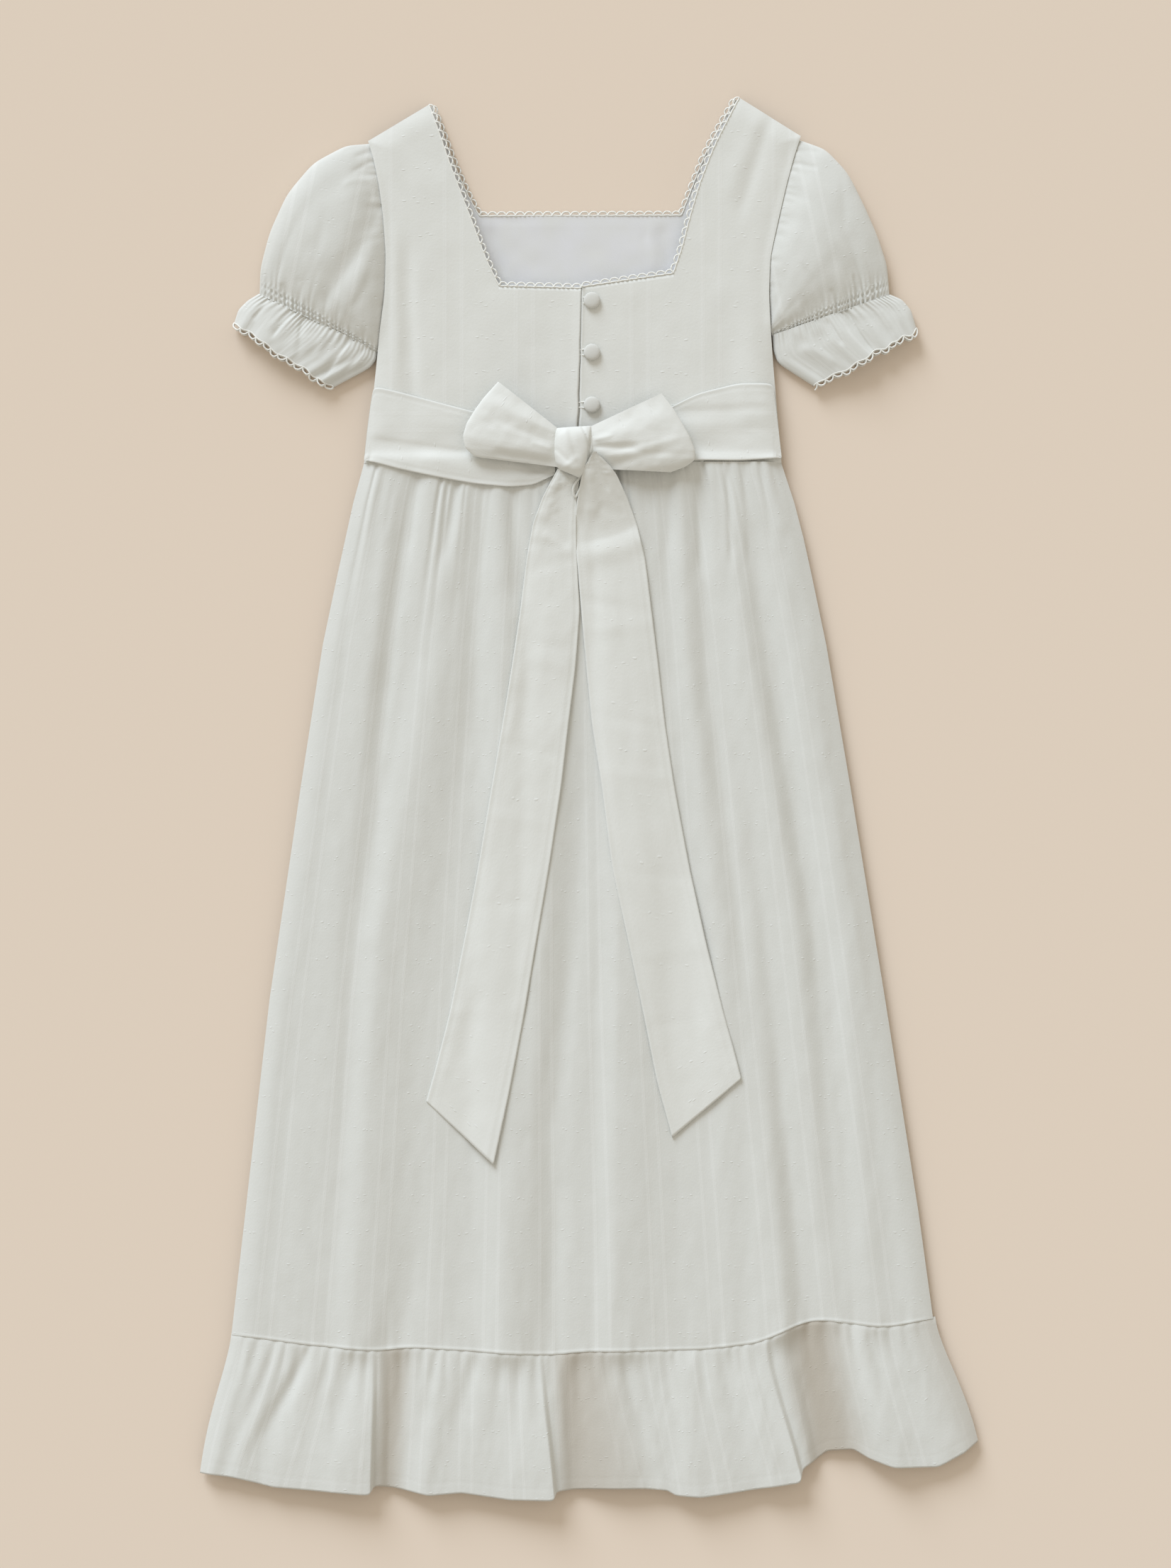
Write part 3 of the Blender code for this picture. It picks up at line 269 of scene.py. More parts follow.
RUFFLE_GATHERS = table("x slant length depth width", """
-243 -6 0.55 1.3 2.6
-233 -5 0.45 1.5 2.8
-221 -8 0.95 1.9 3.4
-213 -4 0.5 1.2 2.4
-203 -4 0.4 1.3 2.6
-197 -22 0.9 1.8 3.4
-182 -6 0.45 1.5 2.6
-171 -4 0.4 1.2 2.4
-165 -6 0.6 1.6 3
-156 -2 0.35 1.2 2.2
-132 2 0.7 1.8 3.2
-126 0 0.4 1.2 2.2
-117 -3 0.45 1.3 2.6
-107 -14 0.75 1.7 3.2
-100 -4 0.4 1.2 2.4
-90 -3 0.35 1.1 2.4
-78 -26 0.85 1.9 5
-62 -6 0.5 1.4 2.8
-49 -3 0.4 1.1 2.4
-37 -3 0.55 1.5 2.8
-27 0 0.35 1.2 2.4
-8 2 0.55 1.6 3
3.5 1 0.4 1.2 2.4
11 2 0.45 1.3 2.4
24.5 4 0.75 2.1 3.2
37 2 0.35 1.1 2.4
53.5 5 0.7 2 3.2
60 3 0.4 1.2 2.4
78 3 0.5 1.4 2.8
93.5 5 0.6 1.6 3
99.5 3 0.35 1.1 2.2
107 4 0.4 1.3 2.4
114.5 10 0.8 1.8 3
128 4 0.45 1.3 2.4
141 3 0.4 1.3 2.4
153 5 0.45 1.5 2.6
164.5 6 0.75 2.1 3.4
176 4 0.4 1.3 2.4
184 5 0.45 1.4 2.4
197 8 0.6 1.7 3
202.5 4 0.35 1.2 2.2
210.5 6 0.45 1.4 2.6
221.5 10 0.7 1.6 3
231.5 8 0.5 1.3 2.4
""")

# Where the ruffle is given painted shade beside its folds, warm as if the surface showed through its one layer,
# by the share of its width
SHADED_THIN_BANDS = table("edge soft peak end strength", """
0.214 0.014 0.234 0.268 0.75
0.463 0.018 0.484 0.575 0.8
0.792 0.026 0.822 0.89 0.95
0.975 0.03 1.1 1.2 0.5
""")

# The edges of the bodice. The opening runs from the neck to the bow, and is wider there
BACK_COLUMNS = "outer_x outer_y neck_x neck_y centre_y"
BACK_LEFT = table(BACK_COLUMNS, """
-158.5 236.8 -70.5 236.8 236.8
-152 284 -68 284 284
-149.5 308 -66.5 308 308
-147.5 328 -65 330 330
-143.8 356 -63.5 361 359.5
-143 384 -72 378 378
-145 411.5 -81.5 403 403
-148 433 -89.5 424 424
-151.5 450 -97.5 445 445
-155.5 463.5 -113 489 489
""")
BACK_RIGHT = table(BACK_COLUMNS, """
135.5 236.8 57 236.8 236.8
131.5 284 58 284 284
129.5 308 59 308 308
128 328 59.5 334 330
126.5 356 59.5 370 360.5
127.5 382 66 389 378
133 407 70.5 407 403
139 433 78 433 424
144 451.5 88 459 445
149 467 106 494 489
""")
FRONT_NECK = table("left_x left_y right_x right_y", """
-73 236.8 60 236.8
-74 284 61 284
-75 308 62 308
-76 332 63 332
-77 362 64 362
-77 388 64.5 388
-77.5 411 65.5 411.5
-85.5 425 72.5 430
-95 446 83.5 458
-111 488.5 103.5 493
""")
BACK_NECK_ROW = 4
FRONT_NECK_ROW = 6
BACK_ROWS = 109
FRONT_ROWS = 73
BODICE_EDGE = table("y front back", """
236.5 3.5 5.2
305 3.5 5.2
335 1 7
440 1 7
460 1.4 6
495 1.6 5.6
""")
OPENING = namedtuple("Opening", "top_x low_x top_y low_y")(-5.2, -7.4, 360.0, 262.0)
OPENING_GAPS = (0.35, 1.5)
PLACKET_DROP = 1.25
PLACKET_STEPS = (0.1, 0.3, 0.8, 2.5, 5.0, 8.0)
BODICE_FOLDS = folds("""
-128 385 -124 262 0 -2 9 5
-137 400 -134 300 0 1 4 5
127 478 106 412 0 -1.1 5 5
118 480 98 425 0 0.6 6 5
-96 380 -92 300 0 -0.6 8 8
96 345 100 262 0 -0.8 9 9
112 330 116 262 0 0.7 7 7
-30 350 -25 296 0 -0.5 8 8
36 350 42 290 0 -0.7 8 9
-70 356 -46 300 4 0.6 9 9
-140 470 -104 440 3 -0.4 7 9
""")
LINING_FOLDS = folds("""
-72 407.8 42 407.2 0 -0.45 0.7 0.7
-72 406.4 42 405.8 0 0.2 0.8 0.8
-69 402 -60 370 0 -1.3 4 3
51 402 56 376 0 -0.9 4 5
38 400 40 392 0 -0.4 1 1
44 404 46 374 0 0.4 3 2
""")

# The sleeves, frills and bow loops are flattened tubes between an outer and an inner line, with the
# height of the tube's back and of its two sides
TUBE_COLUMNS = "out_x out_y in_x in_y top side"
UNDERSIDE_CELLS = 40
CUFF_FLOOR = 0.1
SEAM_REACH = 1.6
LEFT_SLEEVE = table(TUBE_COLUMNS, """
-156.5 462 -147 330 8.6 4
-173 460.5 -147.2 328 15 5
-195 448 -147.4 326 18.6 6
-213 426 -147.6 324 19.6 6
-225 399 -147.8 322 17.8 6
-231.5 374 -148.2 319 14.5 5
-232 357 -148.4 316.5 10 4.4
""")
RIGHT_SLEEVE = table(TUBE_COLUMNS, """
149.6 465 127.4 334 8.6 4
168 458 127.5 333 15 5
183 441 127.6 332 17.4 6
194 418 127.8 331 18 6
203 397 128 330 16.2 6
210 376 128.2 329 13.5 5
211.5 356.5 128.4 328 10 4.4
""")
LEFT_FRILL = table(TUBE_COLUMNS, """
-232.6 356.2 -149 316 10 4.4
-240.5 351.5 -150 309.5 10.6 4.2
-247 345 -154.5 303.5 11.2 4.1
-249.8 336 -180 289.8 11.5 4
""")
RIGHT_FRILL = table(TUBE_COLUMNS, """
212.2 355.6 129 327 10 4.4
221 351.5 129.8 316 10.6 4.2
227.5 343.5 133 307 11.2 4.1
231.2 331 157.5 291.5 11.5 4
""")
LEFT_SLEEVE_FOLDS = folds("""
-147 420 -191 346 4 -2.7 9 6
-150 434 -172 432 -3 0.8 3 3
-166 437 -196 372 6 0.8 9 10
-147 402 -176 342 4 1 7 7
-151 380 -166 345 2 -1 3 4
-196 392 -212 352 0 -0.8 5 5
-186 410 -204 350 3 -0.8 4 4
-152 434 -149 415 0 1 2 2
-150 458 -164 452 0 -0.9 2 2
-152 450 -166 441 0 -0.8 2 2
-156 462 -172 456 0 -0.7 2 2
-216 362 -213 350 0 -1 2 2
-204 366 -206 346 0 -0.8 2 2
""")
RIGHT_SLEEVE_FOLDS = folds("""
178 420 196 352 -4 -0.7 6 7
160 430 168 350 -3 0.9 8 8
186 368 189.5 352 0 -1.3 1.2 1.2
170 358 176 346 0 -1.1 1.4 1.4
151 374 165 346 0 -0.8 2 2
178 440 180 400 0 -0.5 3 3
146 458 162 455 0 -0.6 2 2
145 448 160 444 0 -0.6 2 2
134 372 146 338 -2 -1.2 5 5
140 400 152 352 -2 0.8 6 6
""")
LEFT_FRILL_FOLDS = folds("""
-222 326 -208 343 1 -1.3 1.5 3
-201 339 -204 314 -1 -1.1 1.6 3
-186 298 -166 325 1 -1.5 1.6 3.5
-236 338 -226 352 0 -0.9 2 2
-192 310 -184 330 0 0.8 3 3
-172 300 -158 318 0 -0.9 2 2
""")
RIGHT_FRILL_FOLDS = folds("""
182 343 199 316 -1 -1.4 3 1
168 337 178 321 0 -1.2 2.6 1
204 348 214 328 0 -0.7 3 2
146 326 160 300 0 -0.6 3 3
150 318 172 306 1 0.8 4 4
""")

# Which way the frills point, across and along
LEFT_OUTWARD = (-0.56, -0.83)
RIGHT_OUTWARD = (0.47, -0.88)

# The elastic in its casing, as shares of the sleeve's length
CASING_START = 0.88
CASING_END = 0.93
CASING_STITCHES = (0.94, 0.985)

# The sash and its bow
STRIP_COLUMNS = "left_x left_y right_x right_y"
BAND_COLUMNS = "x upper lower"
SASH_WIDTH = 50.0
STITCH_INSET = 3.0
TAIL_LENGTH = 480.0
TAIL_FALL = 55.0
BOW_FLOOR = 14.6
KNOT_FLOOR = 12.6
KNOT_TOP = 25.2
LEFT_BAND = table(BAND_COLUMNS, """
-158.2 240 238.4
-156.4 258 238
-154.2 275 237.6
-151.6 290.6 237
-133 286.5 232
-107 279.5 226.5
-82 273 222
-56 265 219.5
-39 260 221
-24 256.5 228
""")
RIGHT_BAND = table(BAND_COLUMNS, """
135.4 242 240.4
133.6 258 240
131.4 276 239.8
129.4 292.6 239.6
104.5 292.6 238
76.5 285.5 238.5
57.5 276 238
34 265 238
2 256 240
""")
BAND_FOLDS = folds("""
-158 254 -84 244 0 -0.6 5 2
-52 239 -24 230 0 -0.8 2.5 2.5
-41 233 -26 227 0 -0.6 1.6 1.6
-70 246 -30 232 0 0.4 4 4
-150 276 -96 262 0 0.2 6 6
-120 240 -70 230 0 0.3 4 5
60 272 128 276 0 -0.5 5 3
66 262 132 262 2 0.3 6 6
70 248 130 250 0 -0.3 4 5
112 262 130 258 0 -0.3 3 4
""")
LEFT_TAIL = table(STRIP_COLUMNS, """
-22 232 -6.5 226
-27.5 222 -7.5 219
-33 211.5 -8.5 209.5
-39.5 194 -9 193
-44 169 -8.5 169
-48.5 132.5 -6.5 132.5
-54.5 92.5 -9.5 92.5
-61 52.5 -14.5 52.5
-68.5 9 -19.5 9
-78 -47.5 -28 -47.5
-88 -100 -37 -100
-98 -150 -46 -154
-108 -189 -56 -206
-114.5 -212.5 -67 -257
""")
RIGHT_TAIL = table(STRIP_COLUMNS, """
2.8 243.5 4.6 243.5
0.2 239 9 239.5
-3.2 233 14.5 234
-5.6 225.5 19.5 227.5
-8.2 211.5 27 211.5
-10.5 194 33.5 194
-8.5 169 39.5 169
-5.5 132.5 44 132.5
-2 92.5 49 92.5
2 52.5 53.5 52.5
9 9 60 9
16 -47.5 70.5 -47.5
27.5 -100 82 -100
38 -150 94.5 -150
48 -200 101.5 -175
58.5 -238 107 -196.5
""")
LEFT_TAIL_FOLDS = folds("""
-22 226 -33 196 0 1.4 5 4
-15 216 -17 178 0 -2.2 6 4
-40 186 -14 176 2 0.9 4 5
-44 160 -12 168 0 -0.5 4 5
-50 112 -12 104 0 -0.45 4 5
-48 100 -16 92 0 0.4 5 5
-62 40 -20 30 0 -0.35 4 4
-72 -10 -26 -18 0 0.35 5 5
-90 -80 -38 -72 2 -0.3 4 4
-104 -150 -52 -148 0 0.3 5 5
-34 140 -58 20 3 -0.5 5 5
-56 -40 -96 -200 3 -0.6 6 6
""")
RIGHT_TAIL_FOLDS = folds("""
2 240 13 218 0 -1.5 1.6 1.6
0 232 4 200 0 1.6 4 5
-4.2 219 -4 190 0 -1.4 2.2 2
8 206 24 200 0 -0.9 4 4
-6 182 36 196 -3 -1.2 3 8
-6 172 38 184 -3 1.5 9 6
18 230 30 200 0 -0.9 4 4
-6 140 42 132 0 -0.5 5 4
-2 118 46 124 0 0.4 5 5
2 60 52 50 0 -0.35 4 4
8 20 58 14 0 0.35 5 5
20 -50 70 -56 0 -0.3 4 4
34 -110 84 -104 0 0.3 5 5
44 -160 94 -152 0 -0.3 4 4
22 150 30 30 3 -0.5 6 5
34 10 74 -150 3 -0.6 6 6
""")
LEFT_BOW = table(TUBE_COLUMNS, """
-74 239.5 -20 233 17.8 16
-81 241 -21.5 235.5 19 16.4
-87 247 -22.2 239 20.4 16.8
-88.6 255 -22.6 243.5 21.5 17
-86 264 -22.6 248 22.3 17.1
-80.5 273 -22.4 252.5 22.6 17
-74 282 -22 256.5 22 16.8
-63.8 293.2 -21.5 260 19.2 16.4
""")
RIGHT_BOW = table(TUBE_COLUMNS, """
57 229.5 6 232 18.5 16
68 233.5 3.5 237 20.2 16.4
74.6 238.5 1.8 241.5 21.9 16.8
74.2 245.5 0.6 245.5 22.8 17
70.5 255 0 249 23.3 17.1
66 263 -0.4 253 22.6 17
59.5 274 -0.6 257 21.1 16.8
51 285 -0.4 261 18.9 16.4
""")
LEFT_BOW_FOLDS = folds("""
-84 251 -26 243 0 1.3 6 6
-66 268 -28 251 0 -1 4 6
-74 280 -27 257 0 0.6 5 6
-64 242.5 -24 236 0 -1.5 3 3
-60 285 -56 262 3 -0.4 4 5
-82 262 -60 258 2 -0.3 3 4
-40 250 -26 246 0 0.5 2 2
""")
RIGHT_BOW_FOLDS = folds("""
8 250 58 268 2 1 7 8
3 247.5 34 246 0 -1.7 2.6 3.4
12 240 60 252 0 0.8 3.5 2.5
16 234 52 243 1 -0.8 3 3
22 229.5 70 237 0 0.7 3 4
6 256 30 268 0 -0.6 3 4
46 282 56 262 -3 -0.4 4 4
3 252 16 255 0 0.5 1.6 1.6
""")
KNOT = table(STRIP_COLUMNS, """
-21.6 231.8 -5 224.8
-24.2 236.5 -1.6 230
-25.8 242.5 1.6 237
-26.2 249 4.4 244.5
-25.6 255.5 5.6 252.5
-24.6 260.5 4.4 262.2
""")
KNOT_FOLDS = folds("""
2.8 264 -0.4 227 -0.8 -2.4 0.8 1.1
-5.4 262 0.6 246 0.8 -1.6 0.9 1
-21 259 -10 228 -1.5 0.9 6 5
-14 260 -5 232 -1 -1 2 2.5
-24 246 -14 236 0 -0.7 1.6 2
-25 253 -16 262 0 -0.5 1.6 1.6
-18 232 -8 240 0 0.5 2 2
""")
# The edge of the left end, which curls round just below the knot
CURL = table("x y z", """
-5.5 226.5 15.5
-9.5 222.5 16.5
-11.6 217.5 16.2
-10 211 14.6
-7 216.5 15.4
-4.6 223 16
""")

# How far a lace's loops reach, and where the buttons are
LACE_REACH = 2.7
BUTTON_X = 2.0
BUTTON_Y = (351.0, 314.5, 277.5)
BUTTON_RADIUS = 5.8
BUTTON_CELLS = 40
# A covered button from its shank up, in shares of its radius and in millimetres
BUTTON_PROFILE = table("radius height", """
0.3 0.9
0.62 0.75
0.93 0.85
1 1.5
0.99 1.95
0.93 2.45
0.8 2.85
0.6 3.15
0.36 3.32
0.12 3.4
0.01 3.41
""")

# How deep the tables' folds and creases go in this thin, soft cotton, as a share of what they state
FOLD_DEPTH = 0.78
CREASE_DEPTH = 0.85

# The unevenness of each piece of cloth: rows of height, size across, size along and which of its draws
SKIRT_CRUMPLE = ((0.32, 13, 46, 3), (0.16, 6, 17, 4))
SEAM_CRUMPLE = ((0.5, 4.5, 30, 5),)
RUFFLE_CRUMPLE = ((0.3, 9, 34, 41), (0.14, 4, 12, 42))
BODICE_CRUMPLE = ((0.30, 30, 45, 21), (0.16, 11, 19, 22))
LINING_CRUMPLE = ((0.35, 40, 30, 31), (0.15, 14, 10, 32))
SLEEVE_CRUMPLE = ((0.4, 16, 13, 9),)
BAND_CRUMPLE = ((0.45, 34, 12, 51), (0.18, 12, 7, 52))
TAIL_CRUMPLE = ((0.5, 18, 30, 0), (0.18, 7, 9, 1))
LOOP_CRUMPLE = ((0.4, 12, 10, 0), (0.15, 5, 5, 1))
KNOT_CRUMPLE = ((0.35, 7, 9, 95),)
CRUMPLE_DRAWS = 64


def ease(share):
    """Runs smoothly from 0 to 1 as share does."""
    share = np.clip(share, 0, 1)
    return share * share * (3 - 2 * share)


def ridge(distance, rise, fall):
    """1 on a fold's crest, and 0 at rise to its left and fall to its right."""
    return ease(1 - np.abs(distance) / np.where(distance < 0, rise, fall))


def bell(distance, width):
    """1 on a line, and less with the distance to it, softly."""
    return np.exp(-((distance / width) ** 2))


def hollow(distance, left, right):
    """1 at the bottom of a soft trough that is left and right wide on its two sides."""
    return bell(distance, np.where(distance < 0, left, right))


def at_least(value, least, soft=0.35):
    """The value, eased so that it never goes below least."""
    return least + np.logaddexp(0, (value - least) / soft) * soft


def rolled(distance, edge, middle, reach):
    """A layer's height: edge at a side seam, then a round roll to middle."""
    return middle + (edge - middle) * np.clip(1 - distance / reach, 0, 1) ** 2


def scattered(count, seed):
    """count even-looking numbers from 0 to 1, the same each time."""
    return np.random.default_rng(seed).random(count)


def spaced(count, unevenness, seed):
    """count places from 0 to 1 that are a little uneven."""
    return (np.arange(count) + 0.5 + unevenness * (scattered(count, seed) - 0.5)) / count


def crumple(x, y, rows, seed=0):
    """Soft uneven swellings, with a height, sizes and draw from each row of a crumple table."""
    total = 0
    for height, size_x, size_y, draw in rows:
        rng = np.random.default_rng(seed + draw)
        grid = rng.random((CRUMPLE_DRAWS, CRUMPLE_DRAWS)) * 2 - 1
        gx, gy = np.asarray(x) / size_x + 31.7, np.asarray(y) / size_y + 17.3
        ix, iy = np.floor(gx).astype(int), np.floor(gy).astype(int)
        fx, fy = ease(gx - ix), ease(gy - iy)
        corner = lambda a, b: grid[(iy + b) % CRUMPLE_DRAWS, (ix + a) % CRUMPLE_DRAWS]
        low = corner(0, 0) * (1 - fx) + corner(1, 0) * fx
        high = corner(0, 1) * (1 - fx) + corner(1, 1) * fx
        total = total + height * (low * (1 - fy) + high * fy)
    return total


def creased(creases, x, y):
    """How deep the creases of a table go at a place."""
    depth = 0
    for crease in creases:
        at = (crease.top - y) / (crease.top - crease.low)
        places = (crease.x_top, crease.x_second, crease.x_third, crease.x_low)
        middle = np.interp(at, np.linspace(0, 1, 4), places)
        down = np.interp(at, (0, 0.5, 1), (crease.d_top, crease.d_mid, crease.d_low))
        ends = ease((at + 0.08) / 0.12) * ease((1.1 - at) / 0.14)
        depth = depth + CREASE_DEPTH * down * ends * hollow(x - middle, crease.left, crease.right)
    return depth


def furrows(lines, x, y):
    """The height that a table of folds adds at a place."""
    total = 0
    for line in lines:
        along_x, along_y = line.x_end - line.x, line.y_end - line.y
        length = math.hypot(along_x, along_y)
        share = ((x - line.x) * along_x + (y - line.y) * along_y) / length**2
        off = ((y - line.y) * along_x - (x - line.x) * along_y) / length
        off = off - line.bend * 4 * np.clip(share * (1 - share), 0, 1)
        ends = ease((share + 0.15) / 0.3) * ease((1.15 - share) / 0.3)
        total = total + FOLD_DEPTH * line.height * ends * hollow(off, line.before, line.beyond)
    return total


def rounded(values, times):
    """A line of numbers with its corners eased, its ends kept."""
    values = np.array(values, float)
    for _ in range(times):
        values[1:-1] = (values[:-2] + 2 * values[1:-1] + values[2:]) / 4
    return values


def ruffle_seam(x):
    """How far up the seam between skirt and ruffle is at x, its corners eased."""
    fine = np.linspace(-262, 262, 525)
    return np.interp(x, fine, rounded(read(RUFFLE_SEAM, "x", "y", fine), SEAM_ROUNDS))


def skirt_sides(y):
    return read(SKIRT_SIDES, "y", "left", y), read(SKIRT_SIDES, "y", "right", y)


def skirt_share(x, y):
    """The share of the skirt's width at a place, and the distance to its nearer side."""
    left, right = skirt_sides(y)
    share = np.clip((x - left) / (right - left), 0, 1)
    return share, np.clip(np.minimum(x - left, right - x), 0, None)


def waist_gathers(share, drop, count, seed):
    """The troughs that the waist seam draws in: uneven in place, depth and length. drop is how far
    below the seam a place is."""
    spots = spaced(count, 0.7, seed)
    depths = 0.34 + 1.4 * scattered(count, seed + 1) ** 2.4
    lengths = 20 + 110 * scattered(count, seed + 2) ** 2.2
    widths = (0.14 + 0.15 * scattered(count, seed + 3)) / count
    leans = (scattered(count, seed + 4) - 0.5) * 0.5 / count
    total = 0
    for spot, depth, length, width, lean in zip(spots, depths, lengths, widths, leans):
        fall = drop / length
        wide = width * (1 + 1.1 * np.clip(fall, 0, 1.6))
        total = total + depth * np.exp(-(fall**1.4)) * bell(share - spot - lean * fall, wide)
    return total


def back_skirt_height(x, y):
    share, side = skirt_share(x, y)
    inner = ease(side / SIDE_ROLL)
    height = rolled(side, BACK_SIDE, SKIRT_AIR, SIDE_ROLL)
    for roll in SKIRT_ROLLS:
        places = (roll.x_seam, roll.x_lower, roll.x_upper, roll.x_waist)
        heights = (roll.h_seam, roll.h_lower, roll.h_upper, roll.h_waist)
        crest = np.interp(y, ROLL_STATIONS[::-1], places)
        tall = np.interp(y, ROLL_STATIONS[::-1], heights)
        height = height + tall * ridge(x - crest, roll.rise, roll.fall) * inner
    drop = np.clip(WAIST_Y - y, 0, None)
    gathers = 1.4 * np.exp(-drop / 70) - waist_gathers(share, drop, BACK_GATHERS, 11)
    lines = furrows(WAIST_FOLDS, x, y) - creased(SKIRT_CREASES, x, y)
    above = y - ruffle_seam(x)
    pucker = crumple(x, y, SEAM_CRUMPLE) * np.exp(-np.clip(above, 0, None) / 14)
    turning = 0.3 * bell(above - 1.2, 0.9)
    return height + (gathers + lines + crumple(x, y, SKIRT_CRUMPLE) + pucker + turning) * inner


def front_skirt_height(x, y):
    share, side = skirt_share(x, y)
    drop = np.clip(WAIST_Y - y, 0, None)
    waves = 0.9 * np.exp(-drop / 30) + 0.25 - 0.45 * waist_gathers(share, drop, FRONT_GATHERS, 71)
    return rolled(side, FRONT_SIDE, 0.0, SIDE_ROLL) + np.clip(waves, 0.1, None) * ease(side / SIDE_ROLL)


def bodice_side(x, y):
    """The distance to the nearer side of the bodice."""
    left = read(BACK_LEFT, "outer_y", "outer_x", y)
    right = read(BACK_RIGHT, "outer_y", "outer_x", y)
    return np.clip(np.minimum(x - left, right - x), 0, None)


def opening_edge(y, side):
    """The back opening's edge on its left (side -1) or right (1). It parts a little towards the bow."""
    down = np.clip((OPENING.top_y - y) / (OPENING.top_y - OPENING.low_y), 0, 1)
    middle = OPENING.top_x + down * (OPENING.low_x - OPENING.top_x)
    gap = OPENING_GAPS[0] + (OPENING_GAPS[1] - OPENING_GAPS[0]) * down**2
    ripple = 0.25 * np.sin(y / 5.3) + 0.2 * np.sin(y / 2.9 + 1)
    return middle + side * gap / 2 + ripple * down


def shoulder_drop(x, y):
    """How far below the shoulder seam a place is."""
    left, right = BACK_LEFT[-1], BACK_RIGHT[-1]
    left_seam = np.interp(x, (left.outer_x, left.neck_x), (left.outer_y, left.neck_y))
    right_seam = np.interp(x, (right.neck_x, right.outer_x), (right.neck_y, right.outer_y))
    return np.clip(np.where(x < 0, left_seam, right_seam) - y, 0, None)


def back_bodice_height(x, y):
    side = bodice_side(x, y)
    by_side = rolled(side, read(BODICE_EDGE, "y", "back", y), BODICE_AIR, SIDE_ROLL)
    by_shoulder = rolled(shoulder_drop(x, y), BACK_SHOULDER, BODICE_AIR, SHOULDER_ROLL)
    soft = (crumple(x, y, BODICE_CRUMPLE) + furrows(BODICE_FOLDS, x, y)) * ease(side / 8)
    left_lip = 0.9 * hollow(x - opening_edge(y, -1), 5.0, 0.8)
    right_lip = 0.3 * hollow(x - opening_edge(y, 1), 0.8, 3.0)
    armhole = 0.7 * bell(side, 3.0) * ease((y - 318) / 20)
    return np.minimum(by_side, by_shoulder) + soft + left_lip + right_lip + armhole


def front_bodice_height(x, y):
    by_side = rolled(bodice_side(x, y), read(BODICE_EDGE, "y", "front", y), 0.0, SIDE_ROLL)
    by_shoulder = rolled(shoulder_drop(x, y), FRONT_SHOULDER, 0.0, SHOULDER_ROLL)
    return np.maximum(by_side, by_shoulder) + 0.2


def lining_height(x, y):
    soft = crumple(x, y, LINING_CRUMPLE) + furrows(LINING_FOLDS, x, y)
    return front_bodice_height(x, y) + 2.0 + at_least(soft, -1.2)


def body_top(x, y):
    skirt = back_skirt_height(x, np.minimum(y, WAIST_Y))
    return np.where(y > WAIST_Y, back_bodice_height(x, y), skirt) + 0.6


def resting_height(x, y, reach_x, reach_y, rounds):
    """The lowest height at which a flat piece clears the body, looking this far all round, evened out."""
    steps_x, steps_y = np.linspace(-1, 1, 9) * reach_x, np.linspace(-1, 1, 5) * reach_y
    field = np.max([body_top(x + dx, y + dy) for dx in steps_x for dy in steps_y], axis=0)
    for _ in range(rounds):
        padded = np.pad(field, 1, mode="edge")
        around = padded[:-2, 1:-1] + padded[2:, 1:-1] + padded[1:-1, :-2] + padded[1:-1, 2:]
        field = (around + 4 * field) / 8
    return field


def linear(hex_colour):
    """An sRGB hex colour as linear RGBA."""
    value = hex_colour.lstrip("#")
    channels = [int(value[i : i + 2], 16) / 255 for i in (0, 2, 4)]
    return [c / 12.92 if c <= 0.04045 else ((c + 0.055) / 1.055) ** 2.4 for c in channels] + [1.0]


def add(tree, kind, inputs=(), **settings):
    """Adds a node with its settings and gives its outputs. inputs holds what goes into each socket, a
    value or the output that it comes from, in order or by the socket's number or name."""
    node = tree.nodes.new(kind)
    for name, value in settings.items():
        setattr(node, name, value)
    for socket, value in inputs.items() if isinstance(inputs, dict) else enumerate(inputs):
        if isinstance(value, bpy.types.NodeSocket):
            tree.links.new(value, node.inputs[socket])
        else:
            node.inputs[socket].default_value = value
    return node.outputs


# The kinds of node that most patterns need
MATHS = "ShaderNodeMath"
VECTOR = "ShaderNodeVectorMath"
RANGE = "ShaderNodeMapRange"
NOISE = "ShaderNodeTexNoise"
MIX = "ShaderNodeMix"


def new_material(name, levels):
    """A material with these levels on its shader's sockets, and the shader."""
    material = bpy.data.materials.new(name)
    material.use_nodes = True
    shader = material.node_tree.nodes["Principled BSDF"]
    for socket, level in levels.items():
        shader.inputs[socket].default_value = level
    return material, shader


def repeated(tree, place, repeat, offset):
    """How many repeats a place is from the pattern's start."""
    count = add(tree, MATHS, (place, repeat), operation="DIVIDE")[0]
    return add(tree, MATHS, (count, offset), operation="ADD")[0]


# The satin stripes as shares of a repeat, and how fine their cords are drawn: real ones are finer
STRIPE_CENTRES = (0.38, 0.62)
STRIPE_HALF = 0.030
STRIPE_SOFT = 0.012
CORD_PITCH = 1.0

# The dots of one group: across and along from its middle, and size, in millimetres
DOTS = (
    (-9.0, 0.0, 1.0),
    (-0.4, 0.3, 1.0),
    (8.6, -0.2, 1.0),
    (-5.0, 2.6, 0.8),
    (4.2, 2.4, 0.8),
)
DOT_WANDER = 3.0
DOT_SPREAD = (4.0, 3.0)
DOT_FORM = (1.3, 0.55)


